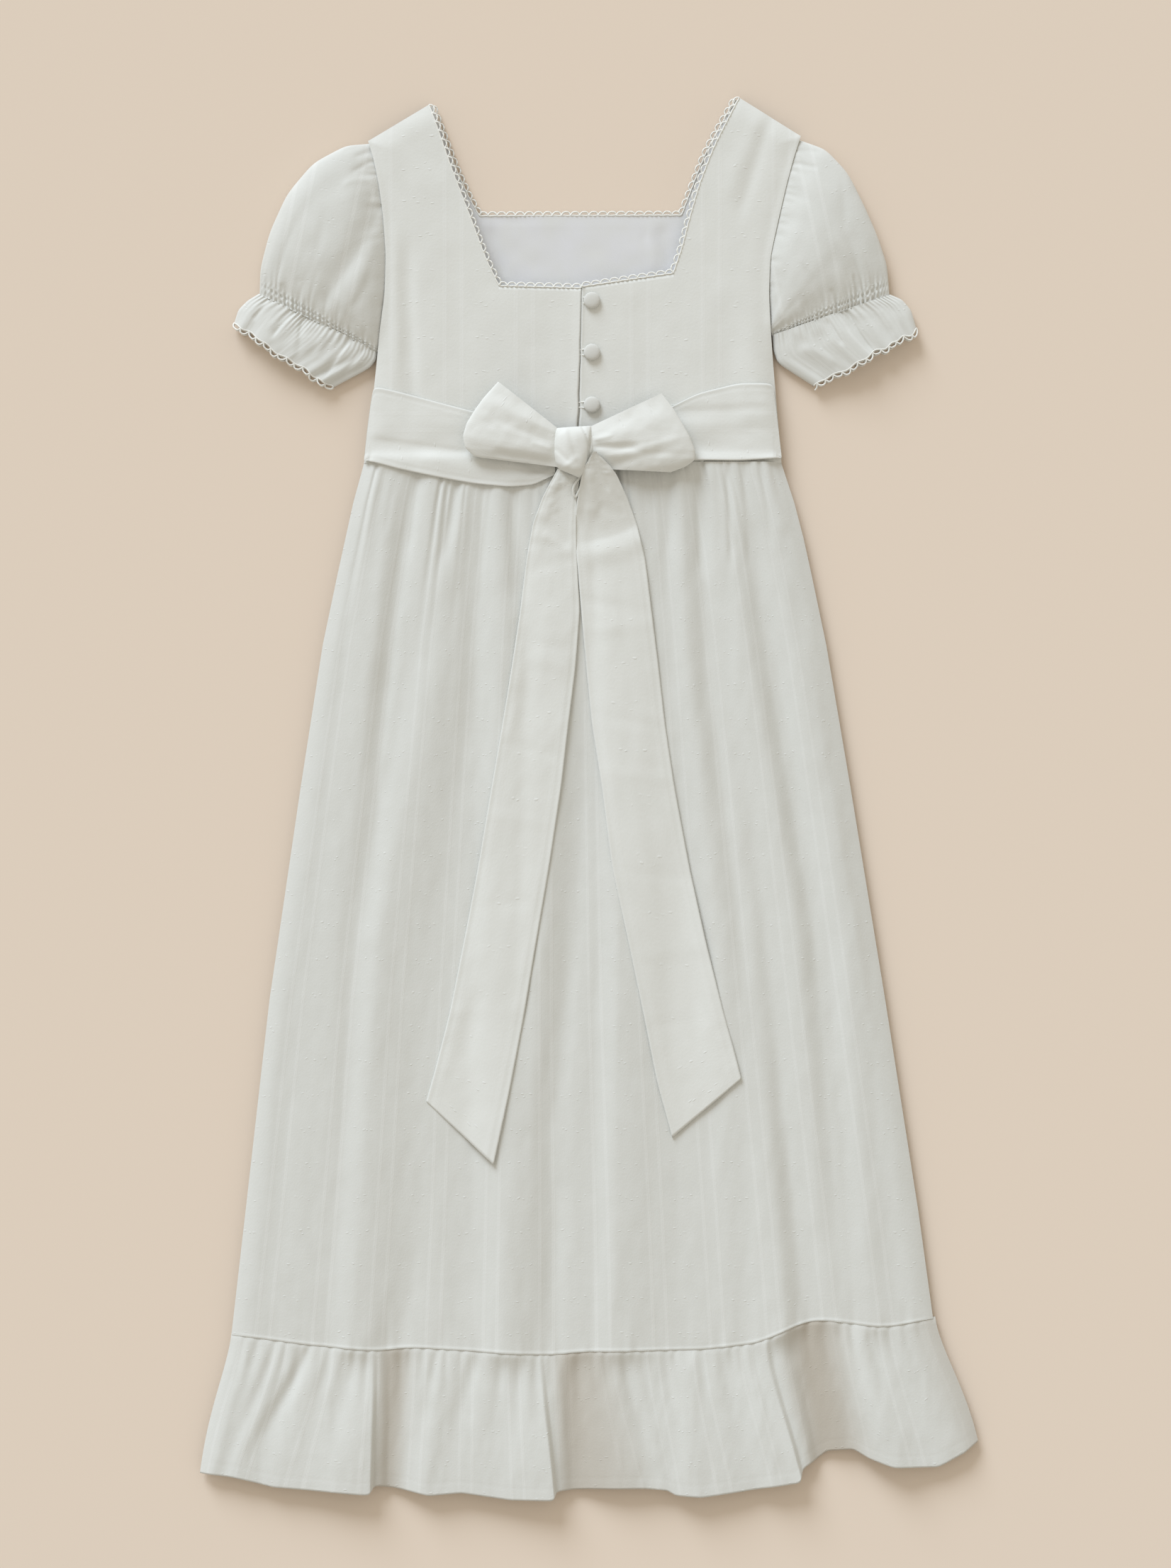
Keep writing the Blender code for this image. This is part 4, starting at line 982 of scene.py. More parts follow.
def clipped_dots(tree, place, repeat, row_gap):
    """Rows of clipped thread ends, three to a group, each a short dash. The loom's own unevenness moves
    them a little, and some are hardly there."""
    wire = partial(add, tree)
    wander = wire(NOISE, {"Vector": place, "Scale": 130.0, "Detail": 1.0})["Color"]
    shift = wire(VECTOR, (wander, (0.5, 0.5, 0.5)), operation="SUBTRACT")[0]
    shift = wire(VECTOR, (shift, (DOT_WANDER * MM, DOT_WANDER * MM, 0.0)), operation="MULTIPLY")[0]
    moved = wire(VECTOR, (place, shift), operation="ADD")[0]
    split = wire("ShaderNodeSeparateXYZ", (moved,))
    counts = repeated(tree, split[0], repeat, 40.5), repeated(tree, split[1], row_gap, 40.0)
    cell = wire("ShaderNodeCombineXYZ", [wire(MATHS, (count,), operation="FLOOR")[0] for count in counts])[0]
    offsets = []
    for count, size in zip(counts, (repeat, row_gap)):
        part = wire(MATHS, (wire(MATHS, (count,), operation="FRACT")[0], 0.5), operation="SUBTRACT")[0]
        offsets.append(wire(MATHS, (part, size / MM), operation="MULTIPLY")[0])
    total = 0.0
    for index, (*middle, size) in enumerate(DOTS):
        spot = wire(VECTOR, (cell, (7.3 * index, 1.7, 0.0)), operation="ADD")[0]
        chance = wire("ShaderNodeTexWhiteNoise", (spot,), noise_dimensions="2D")[1]
        draws = wire("ShaderNodeSeparateColor", (chance,))
        squares = []
        for offset, draw, at, spread, form in zip(offsets, draws, middle, DOT_SPREAD, DOT_FORM):
            here = wire(MATHS, (draw, spread, at - spread / 2), operation="MULTIPLY_ADD")[0]
            away = wire(MATHS, (offset, here), operation="SUBTRACT")[0]
            away = wire(MATHS, (away, size * form), operation="DIVIDE")[0]
            squares.append(wire(MATHS, (away, away), operation="MULTIPLY")[0])
        far = wire(MATHS, squares, operation="ADD")[0]
        dot = wire(RANGE, (far, 0.0, 1.5, 1.0, 0.0))[0]
        there = wire(RANGE, (draws[2], 0.1, 0.8, 0.15, 1.0))[0]
        dot = wire(MATHS, (dot, there), operation="MULTIPLY")[0]
        total = wire(MATHS, (total, dot), operation="MAXIMUM")[0]
    return total


def shaded_thin_bands(tree, across):
    """How much painted shade lies beside the ruffle's folds, warm as if the surface showed through, from the
    place across its flat cloth.
    """
    wire = partial(add, tree)
    share = wire(MATHS, (across, 1 / (RUFFLE_WIDTH * MM), 0.5), operation="MULTIPLY_ADD")[0]
    total = 0.0
    for band in SHADED_THIN_BANDS:
        starts = (share, band.edge - band.soft, band.edge + band.soft, 0.0, band.strength)
        rise = wire(RANGE, starts, interpolation_type="SMOOTHSTEP")[0]
        fall = wire(RANGE, (share, band.peak, band.end, 1.0, 0.0), interpolation_type="SMOOTHSTEP")[0]
        total = wire(MATHS, (rise, fall, total), operation="MULTIPLY_ADD")[0]
    return total


def dobby_cotton(name, colours, look, bands=1.0, sheer_and_shade=None):
    """Woven dobby cotton: pairs of raised satin stripes with rows of clipped dots between them. To the
    eye it is matt and soft, with faint bright lines down the cloth and small nubs that catch light."""
    levels = {"Roughness": 0.82, "Specular IOR Level": 0.25, "Sheen Weight": 0.18, "Sheen Roughness": 0.5}
    material, shader = new_material(name, levels)
    tree = material.node_tree
    wire = partial(add, tree)
    place = wire("ShaderNodeUVMap", uv_map="cloth")[0]
    split = wire("ShaderNodeSeparateXYZ", (place,))
    across = wire(MATHS, (repeated(tree, split[0], look.stripe_repeat, 40.0),), operation="FRACT")[0]
    stripes = []
    for centre in STRIPE_CENTRES:
        distance = wire(MATHS, (across, centre), operation="SUBTRACT")[0]
        distance = wire(MATHS, (distance,), operation="ABSOLUTE")[0]
        edges = (STRIPE_HALF - STRIPE_SOFT, STRIPE_HALF + STRIPE_SOFT, 1.0, 0.0)
        stripes.append(wire(RANGE, (distance, *edges))[0])
    satin = wire(MATHS, (wire(MATHS, stripes, operation="ADD")[0], bands), operation="MULTIPLY")[0]
    turns = wire(MATHS, (split[0], 2 * math.pi / (CORD_PITCH * MM)), operation="MULTIPLY")[0]
    cord = wire(MATHS, (turns,), operation="SINE")[0]
    cord = wire(MATHS, (cord, 0.3, 0.7), operation="MULTIPLY_ADD")[0]
    cords = wire(MATHS, (satin, cord), operation="MULTIPLY")[0]
    dots = clipped_dots(tree, place, look.stripe_repeat, look.dot_row_gap)
    weave = wire(NOISE, {"Vector": place, "Scale": 620.0, "Detail": 2.0})[0]
    slub = wire(NOISE, {"Vector": place, "Scale": 60.0, "Detail": 3.0, "Roughness": 0.6})[0]
    shade, white, bright = (linear(colour) for colour in colours)
    colour = wire(MIX, {0: slub, 6: shade, 7: white}, data_type="RGBA")[2]
    raised = wire(MATHS, (cords, 0.65), operation="MULTIPLY")[0]
    raised = wire(MATHS, (dots, 0.7, raised), operation="MULTIPLY_ADD")[0]
    raised = wire(MATHS, (raised, 0.55), operation="MULTIPLY")[0]
    colour = wire(MIX, {0: raised, 6: colour, 7: bright}, data_type="RGBA")[2]
    # Painted shade: darker warm bands beside the ruffle's folds, where their shade falls, standing also for the
    # surface showing through
    if sheer_and_shade:
        share = shaded_thin_bands(tree, split[0])
        colour = wire(MIX, {0: share, 6: colour, 7: linear(sheer_and_shade)}, data_type="RGBA")[2]
    tree.links.new(colour, shader.inputs["Base Color"])
    level = wire(MATHS, (cords, 0.2), operation="MULTIPLY")[0]
    for part, height in ((dots, 0.5), (weave, 0.25), (slub, 0.5)):
        level = wire(MATHS, (part, height, level), operation="MULTIPLY_ADD")[0]
    bump = wire("ShaderNodeBump", {"Height": level, "Distance": 0.45 * MM, "Strength": 0.8})[0]
    tree.links.new(bump, shader.inputs["Normal"])
    return material


def plain_cotton(name, colours, weave_scale, depth):
    """Plain woven cotton or cotton thread: matt, with a fine even grain and a slight change of tone."""
    levels = {"Roughness": 0.85, "Specular IOR Level": 0.25, "Sheen Weight": 0.12}
    material, shader = new_material(name, levels)
    tree = material.node_tree
    wire = partial(add, tree)
    place = wire("ShaderNodeUVMap", uv_map="cloth")[0]
    weave = wire(NOISE, {"Vector": place, "Scale": weave_scale, "Detail": 2.0})[0]
    slub = wire(NOISE, {"Vector": place, "Scale": 45.0, "Detail": 3.0})[0]
    tone = wire(MIX, {0: slub, 6: linear(colours[0]), 7: linear(colours[1])}, data_type="RGBA")[2]
    tree.links.new(tone, shader.inputs["Base Color"])
    bump = wire("ShaderNodeBump", {"Height": weave, "Distance": depth * MM, "Strength": 0.6})[0]
    tree.links.new(bump, shader.inputs["Normal"])
    return material


FINISHES = {}


def finish(name):
    """The material of this name, made when it is first asked for."""
    look = bpy.context.scene.dress_look
    single = (look.cloth_shade_colour, look.cloth_colour, look.cloth_highlight_colour)
    lined = (look.lined_shade_colour, look.lined_colour, look.cloth_highlight_colour)
    makers = {
        # Skirt, sleeves and frills: one layer of dobby cotton, a little grey from what lies below
        "dobby_cotton": (dobby_cotton, single, look),
        # Ruffle: the same, with warm painted shade beside its folds, as if the surface showed through
        "ruffle_dobby": (dobby_cotton, single, look, 1.0, look.sheer_and_shade_colour),
        # Backs of the bodice: the same over a lining, so whiter
        "lined_dobby": (dobby_cotton, lined, look),
        # Sash: the same folded double, its stripes dimmer
        "sash_cotton": (dobby_cotton, lined, look, 0.5),
        # Lining: plain smooth cotton, cooler than the dress
        "lining_cotton": (plain_cotton, (look.lining_colour, look.cloth_colour), 900.0, 0.06),
        # Lace and thread loops: ivory cotton thread, its twist drawn coarse so that it shows
        "cotton_lace": (plain_cotton, (look.lace_colour, look.lace_colour), 1500.0, 0.2),
        # Buttons: plain cotton pulled over a dome, in the shade of its own small folds
        "covered_button": (plain_cotton, (look.button_colour, look.button_colour), 800.0, 0.15),
    }
    if name not in FINISHES:
        maker, *values = makers[name]
        FINISHES[name] = maker(name, *values)
    return FINISHES[name]


def mesh_object(name, points, faces, cloth, material):
    """A smooth mesh from points in millimetres, with each point's place on the flat cloth as its UV."""
    mesh = bpy.data.meshes.new(name)
    points = (np.asarray(points, float) - (0, MIDDLE_Y, 0)) * MM
    faces = np.asarray(faces, np.int32)
    mesh.vertices.add(len(points))
    mesh.vertices.foreach_set("co", points.astype(np.float32).ravel())
    mesh.loops.add(faces.size)
    mesh.loops.foreach_set("vertex_index", faces.ravel())
    mesh.polygons.add(len(faces))
    mesh.polygons.foreach_set("loop_start", np.arange(0, faces.size, 4, dtype=np.int32))
    mesh.update(calc_edges=True)
    layer = mesh.uv_layers.new(name="cloth")
    layer.data.foreach_set("uv", (np.asarray(cloth, float)[faces.ravel()] * MM).astype(np.float32).ravel())
    mesh.shade_smooth()
    mesh.materials.append(finish(material))
    obj = bpy.data.objects.new(name, mesh)
    bpy.context.scene.collection.objects.link(obj)
    return obj


def grid_faces(rows, columns, wrap=False, start=0):
    """The four-sided faces of a grid of points whose first point has the number start."""
    across = columns if wrap else columns - 1
    i, j = np.meshgrid(np.arange(rows - 1), np.arange(across), indexing="ij")
    following = (j + 1) % columns
    corners = (i * columns + j, i * columns + following, (i + 1) * columns + following, (i + 1) * columns + j)
    return start + np.stack(corners, axis=-1).reshape(-1, 4)


def joined(name, grids, material, flipped=False):
    """One mesh of several grids, each a pair: its points, and their places on the flat cloth."""
    faces, start = [], 0
    for points, _ in grids:
        faces.append(grid_faces(*points.shape[:2], start=start))
        start += points[..., 0].size
    faces = np.concatenate(faces)
    points = np.concatenate([points.reshape(-1, 3) for points, _ in grids])
    cloth = np.concatenate([cloth.reshape(-1, 2) for _, cloth in grids])
    return mesh_object(name, points, faces[:, ::-1] if flipped else faces, cloth, material)


def turned_under(points, cloth, edges, depth, width):
    """A grid of points with a narrow turning folded under at each edge named in edges."""
    for edge in edges:
        axis = 0 if edge in ("first", "last") else 1
        from_start = edge in ("first", "left")
        if from_start:
            points, cloth = np.flip(points, axis), np.flip(cloth, axis)
        line, inner = np.take(points, -1, axis), np.take(points, -2, axis)
        inward = inner - line
        inward /= np.maximum(np.linalg.norm(inward, axis=-1, keepdims=True), 1e-6)
        turning = (line + (0, 0, -depth), line + inward * width + (0, 0, -depth * 1.2))
        points = np.concatenate([points, np.stack(turning, axis)], axis)
        cloth = np.concatenate([cloth, np.take(cloth, [-1, -1], axis)], axis)
        if from_start:
            points, cloth = np.flip(points, axis), np.flip(cloth, axis)
    return points, cloth


def sheet_object(name, points, cloth, material, edges=(), depth=0.7, width=4.0, upward=True):
    """A cloth piece from a grid of points, with its edges turned under."""
    points, cloth = turned_under(points, cloth, edges, depth, width)
    rows, columns = points.shape[:2]
    across = points[rows // 2, -1] - points[rows // 2, 0]
    down = points[-1, columns // 2] - points[0, columns // 2]
    return joined(name, [(points, cloth)], material, (np.cross(across, down)[2] > 0) != upward)


def tube_object(name, rings, cloth, material):
    """A cloth tube from rings of points. cloth has each ring's first place once more at its end."""
    return joined(name, [(np.concatenate([rings, rings[:, :1]], axis=1), cloth)], material)


def run(path):
    """How far along a path each of its points is."""
    return np.concatenate([[0], np.cumsum(np.linalg.norm(np.diff(path, axis=0), axis=1))])


def thread_mesh(name, paths, radius, material, sides=6):
    """Round threads along paths, each a list of points in millimetres, as one mesh."""
    points, faces, cloth, start = [], [], [], 0
    angle = np.linspace(0, 2 * np.pi, sides, endpoint=False)
    for path in paths:
        path = np.asarray(path, float)
        along = np.gradient(path, axis=0)
        along /= np.linalg.norm(along, axis=1, keepdims=True)
        sideways = np.cross(along, (0.0, 0.0, 1.0))
        sideways /= np.maximum(np.linalg.norm(sideways, axis=1, keepdims=True), 1e-6)
        up = np.cross(sideways, along)
        ring = np.cos(angle)[None, :, None] * sideways[:, None] + np.sin(angle)[None, :, None] * up[:, None]
        points.append((path[:, None] + radius * ring).reshape(-1, 3))
        faces.append(grid_faces(len(path), sides, wrap=True, start=start))
        places = np.broadcast_arrays(run(path)[:, None], angle[None, :] * radius)
        cloth.append(np.stack(places, axis=-1).reshape(-1, 2))
        start += len(path) * sides
    return mesh_object(name, np.concatenate(points), np.concatenate(faces), np.concatenate(cloth), material)


def dress_piece(obj, node):
    """obj stands for a node of the frame and moves with the dress."""
    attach(obj, "root")
    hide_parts(node)
    return obj


def between(first, last, count):
    """A grid that runs in count cells from one line of points to another."""
    share = np.linspace(0, 1, count + 1)[None, :, None]
    return first[:, None, :] * (1 - share) + last[:, None, :] * share


def refined(rows, count):
    """A table with count rows, read between its own."""
    at = np.linspace(0, len(rows) - 1, count)
    fields = rows[0]._fields
    values = [np.interp(at, np.arange(len(rows)), column(rows, field)) for field in fields]
    return [type(rows[0])(*row) for row in zip(*values)]


def rounded_rows(rows, count, times):
    """A table with count rows whose lines have their corners eased."""
    fine = refined(rows, count)
    lines = [rounded(column(fine, field), times) for field in rows[0]._fields]
    return [type(rows[0])(*values) for values in zip(*lines)]


def colour_setting(name, piece, default):
    return bpy.props.StringProperty(name=name, description="sRGB colour of " + piece, default=default)


def length_setting(name, description, default):
    limits = {"min": 0.0001, "unit": "LENGTH"}
    return bpy.props.FloatProperty(name=name, description=description, default=default, **limits)


def angle_setting(name, description, degrees):
    default = math.radians(degrees)
    return bpy.props.FloatProperty(name=name, description=description, default=default, subtype="ANGLE")


def strength_setting(name, description, default):
    return bpy.props.FloatProperty(name=name, description=description, default=default, min=0.0)


class DressLook(bpy.types.PropertyGroup):
    """Sizes and colours of the dress's cloth and trimmings."""

    cloth_colour: colour_setting("Cloth", "the white cotton", "#DADAD5")
    cloth_shade_colour: colour_setting("Cloth shade", "the white cotton's thicker threads", "#D3D3CD")
    cloth_highlight_colour: colour_setting("Satin", "the satin stripes and dots", "#E6E6E2")
    lined_colour: colour_setting("Lined cloth", "the cotton where a second layer backs it", "#E1E1DC")
    lined_shade_colour: colour_setting("Lined shade", "the backed cotton's thicker threads", "#DBDBD5")
    # Painted shade for the troughs beside the ruffle's folds, warm as if the surface showed through
    sheer_and_shade_colour: colour_setting("Sheer cloth", "a single layer with the surface showing through", "#BBB3A6")
    lining_colour: colour_setting("Lining", "the lining", "#DEDEE3")
    lace_colour: colour_setting("Lace", "the lace", "#ECEBE5")
    button_colour: colour_setting("Buttons", "the buttons", "#D2D1CB")
    floor_colour: colour_setting("Floor", "the floor", "#E6D6C5")
    stripe_repeat: length_setting("Stripe repeat", "Distance between pairs of stripes", 0.05)
    dot_row_gap: length_setting("Dot rows", "Distance between rows of dots", 0.024)
    lace_pitch: length_setting("Lace pitch", "Length of one loop of the lace", 0.0065)
    lace_thread: length_setting("Lace thread", "Thickness of the lace's thread", 0.0011)


class DressLight(bpy.types.PropertyGroup):
    """The studio's light and camera."""

    key_energy: strength_setting("Key light", "Sunlight strength of the key", 2.9)
    key_elevation: angle_setting("Key height", "The key light's angle above the surface", 24)
    key_azimuth: angle_setting("Key direction", "Where the key light comes from, from +X", 115)
    key_softness: angle_setting("Key softness", "The key light's apparent width", 30)
    fill: strength_setting("Fill", "Strength of the light all round", 0.63)
    view_height: length_setting("Camera height", "The camera's height above the floor", 3.2)


# Extra rows of the skirt's grid near the ruffle's seam, by their distance from it
NEAR_SEAM = np.array([4.0, 3.2, 2.4, 1.8, 1.2, 0.8, 0.4])
SKIRT_LENGTH = 623.0
SEAM_OVERLAP = 0.2


def skirt_grid(columns, rows):
    """Places of a skirt panel from the waist to the ruffle's seam, closer together near both."""
    u = np.linspace(0, 1, columns)[None, :]
    v = np.concatenate([np.linspace(0, 1, rows) ** 1.25, 1 - NEAR_SEAM / SKIRT_LENGTH])
    v = np.sort(v)[:, None]
    seam_y = ruffle_seam(SEAM_LEFT + u * SEAM_WIDTH) + SEAM_OVERLAP
    top_y = WAIST_Y + 1.0
    y = top_y + v * (seam_y - top_y)
    left, right = skirt_sides(y)
    x = left + u * (right - left)
    cloth_x = (u - 0.5) * SKIRT_CLOTH_WIDTH + SKIRT_CLOTH_SHIFT
    return x, y, np.stack(np.broadcast_arrays(cloth_x, WAIST_Y - y), axis=-1)


class DRESS_OT_skirt(bpy.types.Operator):
    """Makes the gathered front and back of the skirt."""

    bl_idname = "dress.skirt"
    bl_label = "Skirt"

    def execute(self, context):
        x, y, cloth = skirt_grid(columns=460, rows=170)
        points = np.dstack([x, y, back_skirt_height(x, y) + SKIRT_LIFT])
        back = sheet_object("back_skirt_cloth", points, cloth, "dobby_cotton")
        dress_piece(back, "back_skirt")
        x, y, cloth = skirt_grid(columns=150, rows=60)
        points = np.dstack([x, y, front_skirt_height(x, y)])
        front = sheet_object("front_skirt_cloth", points, cloth, "dobby_cotton", upward=False)
        dress_piece(front, "front_skirt")
        return {"FINISHED"}


def ruffle_height(u, v, x):
    """How high the back ruffle is at the share u of its width and v of its drop."""
    v = np.clip(v, 0, None)
    side = np.minimum(u, 1 - u) * RUFFLE_ACROSS
    inner = ease(side / SIDE_ROLL)
    height = rolled(side, BACK_SIDE, SKIRT_AIR, SIDE_ROLL)
    for roll in RUFFLE_ROLLS:
        crest = roll.u_seam + v * (roll.u_hem - roll.u_seam)
        tall = roll.h_seam + ease(v * 1.2) * (roll.h_hem - roll.h_seam)
        height = height + tall * ridge(u - crest, roll.rise, roll.fall) * inner
    troughs = 0
    seam_x = SEAM_LEFT + u * SEAM_WIDTH
    for gather in RUFFLE_GATHERS:
        reach = v / gather.length
        wide = gather.width * (1 + 1.3 * np.clip(reach, 0, 1.4))
        off = seam_x - gather.x - gather.slant * v
        troughs = troughs + gather.depth * np.exp(-(reach**2.2)) * bell(off, wide)
    for channel in RUFFLE_CHANNELS:
        middle = channel.u_seam + v * (channel.u_hem - channel.u_seam)
        down = channel.d_seam + v * (channel.d_hem - channel.d_seam)
        troughs = troughs + down * hollow(u - middle, channel.left, channel.right)
    flutes = 0.55 * np.sin(2 * np.pi * (15.3 * u + 0.5 * np.sin(9 * u))) * ease(v * 1.4) * inner
    drop = v * RUFFLE_DROP
    soft = crumple(x, drop, RUFFLE_CRUMPLE)
    groove = (0.5 + 0.15 * bell(drop, 2.0)) * (1 - ease(v * 3))
    hem = 0.08 * bell(RUFFLE_DROP - drop - 8.5, 1.0)
    return height + (0.9 * (1 - v) - troughs + flutes + soft - hem) * inner - groove


class DRESS_OT_ruffle(bpy.types.Operator):
    """Makes the gathered ruffle round the hem."""

    bl_idname = "dress.ruffle"
    bl_label = "Hem ruffle"

    def places(self, hem, columns, rows):
        """A grid of places from just above the seam, under the skirt, to the hem."""
        shares = np.linspace(0, 1, rows)
        shares[0] = -0.02
        u, v = np.meshgrid(np.linspace(0, 1, columns), shares)
        seam_x = SEAM_LEFT + u * SEAM_WIDTH
        seam_y = ruffle_seam(seam_x) - SEAM_OVERLAP
        fine = np.linspace(0, 1, 2001)
        hem_x = np.interp(u, fine, rounded(read(hem, "u", "x", fine), 12))
        hem_y = np.interp(u, fine, rounded(read(hem, "u", "y", fine), 90))
        flare = 1 + 0.5 * (1 - v)
        side = (2 * u - 1) ** 15 * 3.0 * np.sin(np.pi * v)
        x = seam_x + np.clip(v, 0, 1) ** flare * (hem_x - seam_x) + side
        y = seam_y + v * (hem_y - seam_y)
        return u, v, x, y, np.dstack([(u - 0.5) * RUFFLE_WIDTH, v * 110.0])

    def execute(self, context):
        u, v, x, y, cloth = self.places(BACK_HEM, columns=760, rows=76)
        z = ruffle_height(u, v, x) + SKIRT_LIFT
        drop = np.clip(v, 0, None) * RUFFLE_DROP
        level = back_skirt_height(x[0], ruffle_seam(x[0]) + 0.3) + SKIRT_LIFT - 0.2
        z = z + (rounded(level, 4) - rounded(z[1], 14)) * np.exp(-((drop / 9) ** 1.5))
        z = np.minimum(z, level + drop * 0.6)
        z[0] = np.minimum(z[0], level - 0.4)
        points = np.dstack([x, y, z])
        back = sheet_object("back_ruffle_cloth", points, cloth, "ruffle_dobby", edges=("last",), width=8.0)
        dress_piece(back, "back_ruffle")
        u, v, x, y, cloth = self.places(FRONT_HEM, columns=220, rows=16)
        side = np.minimum(u, 1 - u) * RUFFLE_ACROSS
        waves = 0.5 + 0.45 * np.sin(2 * np.pi * (26 * u + 0.4 * np.sin(11 * u))) * (1 - 0.4 * v)
        z = rolled(side, FRONT_SIDE, 0.0, SIDE_ROLL) + waves * ease(side / SIDE_ROLL)
        front = sheet_object("front_ruffle_cloth", np.dstack([x, y, z]), cloth, "dobby_cotton", upward=False)
        dress_piece(front, "front_ruffle")
        return {"FINISHED"}


def smooth_edge(rows, x_name, y_name, count, kink):
    """A line through a table's points, eased between them, with a corner kept at row kink."""
    line = pairs(refined(rows, count), x_name, y_name)
    corner = fine_row(rows, count, kink)
    for part in (slice(0, corner + 1), slice(corner, count)):
        for axis in (0, 1):
            line[part, axis] = rounded(line[part, axis], 10)
    return line


def fine_row(rows, count, kink):
    """The row of a line of count points that lies at a table's row kink."""
    return int(np.argmin(np.abs(np.linspace(0, len(rows) - 1, count) - kink)))


def underlapped(points, cloth):
    """A grid with the placket at its last column, which goes on under the other edge of the opening."""
    edge, edge_cloth = points[:, -1:], cloth[:, -1:]
    for reach in PLACKET_STEPS:
        drop = PLACKET_DROP * (1 - math.exp(-reach / 0.25))
        points = np.concatenate([points, edge + (-reach, 0, -drop)], axis=1)
        cloth = np.concatenate([cloth, edge_cloth + (-reach, 0)], axis=1)
    return points, cloth


def cloth_top(x, y):
    """The height of the backs of the bodice with their cloth."""
    return back_bodice_height(x, y) + BODICE_LIFT


def laid(grid, height):
    """Points over a grid of places, at the height that the function height gives there."""
    return np.dstack([grid, height(grid[..., 0], grid[..., 1])])


class DRESS_OT_bodice(bpy.types.Operator):
    """Makes the two backs of the bodice, its front and the lining that shows at the neck."""

    bl_idname = "dress.bodice"
    bl_label = "Bodice"

    def back_half(self, node, rows, opening, grain):
        """One back, whose edge at the opening is its left (-1) or right (1). grain moves its stripes."""
        outer = smooth_edge(rows, "outer_x", "outer_y", BACK_ROWS, 0)
        neck = smooth_edge(rows, "neck_x", "neck_y", BACK_ROWS, BACK_NECK_ROW)
        corner = fine_row(rows, BACK_ROWS, BACK_NECK_ROW)
        centre_y = column(refined(rows, BACK_ROWS), "centre_y")
        centre = np.stack([opening_edge(centre_y, opening), centre_y], axis=-1)
        strap, inner = between(outer, neck, 56), between(neck, centre, 44)[: corner + 1]
        strap_points, inner_points = (laid(grid, cloth_top) for grid in (strap, inner))
        if opening == 1:
            inner_part = underlapped(*turned_under(inner_points, inner, ("last",), 0.7, 6.0))
        else:
            inner_part = turned_under(inner_points, inner, ("right", "last"), 0.7, 6.0)
        neck_edge = strap_points[corner:, -1]
        rim = np.stack([neck_edge, neck_edge + (0, 0, -0.8)], axis=1)
        parts = [(strap_points, strap), inner_part, (rim, rim[..., :2])]
        parts = [(points, cloth + (grain, 0.0)) for points, cloth in parts]
        obj = joined(node + "_cloth", parts, "lined_dobby", flipped=opening == 1)
        dress_piece(obj, node)

    def front(self, node, height, finish_name, inset):
        """The front or its lining, whose sides are inset from those of the backs."""
        neck_left = smooth_edge(FRONT_NECK, "left_x", "left_y", FRONT_ROWS, FRONT_NECK_ROW)
        neck_right = smooth_edge(FRONT_NECK, "right_x", "right_y", FRONT_ROWS, FRONT_NECK_ROW)
        outer_left = smooth_edge(BACK_LEFT, "outer_x", "outer_y", FRONT_ROWS, 0) + (inset, 0)
        outer_right = smooth_edge(BACK_RIGHT, "outer_x", "outer_y", FRONT_ROWS, 0) - (inset, 0)
        corner = fine_row(FRONT_NECK, FRONT_ROWS, FRONT_NECK_ROW)
        grids = (
            between(outer_left, neck_left, 26),
            between(neck_right, outer_right, 26),
            between(neck_left, neck_right, 60)[: corner + 1],
        )
        parts = [(laid(grid, height), grid) for grid in grids]
        obj = joined(node + "_cloth", parts, finish_name)
        dress_piece(obj, node)

    def execute(self, context):
        self.back_half("back_bodice_left", BACK_LEFT, opening=-1, grain=20.0)
        self.back_half("back_bodice_right", BACK_RIGHT, opening=1, grain=-11.0)
        self.front("front_bodice", front_bodice_height, "dobby_cotton", inset=0.0)
        self.front("front_lining", lining_height, "lining_cotton", inset=2.0)
        return {"FINISHED"}


def loop_edging(place, edge, total, pitch, reach=1.0):
    """The threads of a loop edging: edge, which is the one along the cloth, and a round arc for each
    pitch. place(along, out) gives points at distances along the cloth's edge and out from it."""
    loops = max(2, round(total / pitch))
    turn = np.linspace(-1, 1, 11)
    out = reach * (0.3 + LACE_REACH * (1 - np.abs(turn) ** 3))
    arcs = [np.clip((index + 0.5 + 0.52 * turn) * total / loops, 0, total) for index in range(loops)]
    return [edge, *(place(arc, out) for arc in arcs)]


def neck_edging(path, side, height, pitch):
    """A loop edging along a path on the cloth, on its left where side is 1 and on its right for -1."""
    lengths = run(path)
    total = lengths[-1]

    def spot(along):
        along = np.clip(along, 0, total)
        return np.stack([np.interp(along, lengths, path[:, axis]) for axis in (0, 1)], axis=-1)

    def place(along, out):
        base = spot(along)
        direction = spot(along + 1.5) - spot(along - 1.5)
        direction /= np.linalg.norm(direction, axis=-1, keepdims=True)
        normal = np.stack([-direction[:, 1], direction[:, 0]], axis=-1) * side
        z = height(base[:, 0], base[:, 1]) + 0.25 * np.sin(along * 1.9)
        return np.column_stack([base + normal * out[:, None], z])

    steps = np.linspace(0, total, int(total / 1.6) + 2)
    return loop_edging(place, place(steps, 0.35 + 0.15 * np.sin(steps * 2.9)), total, pitch)


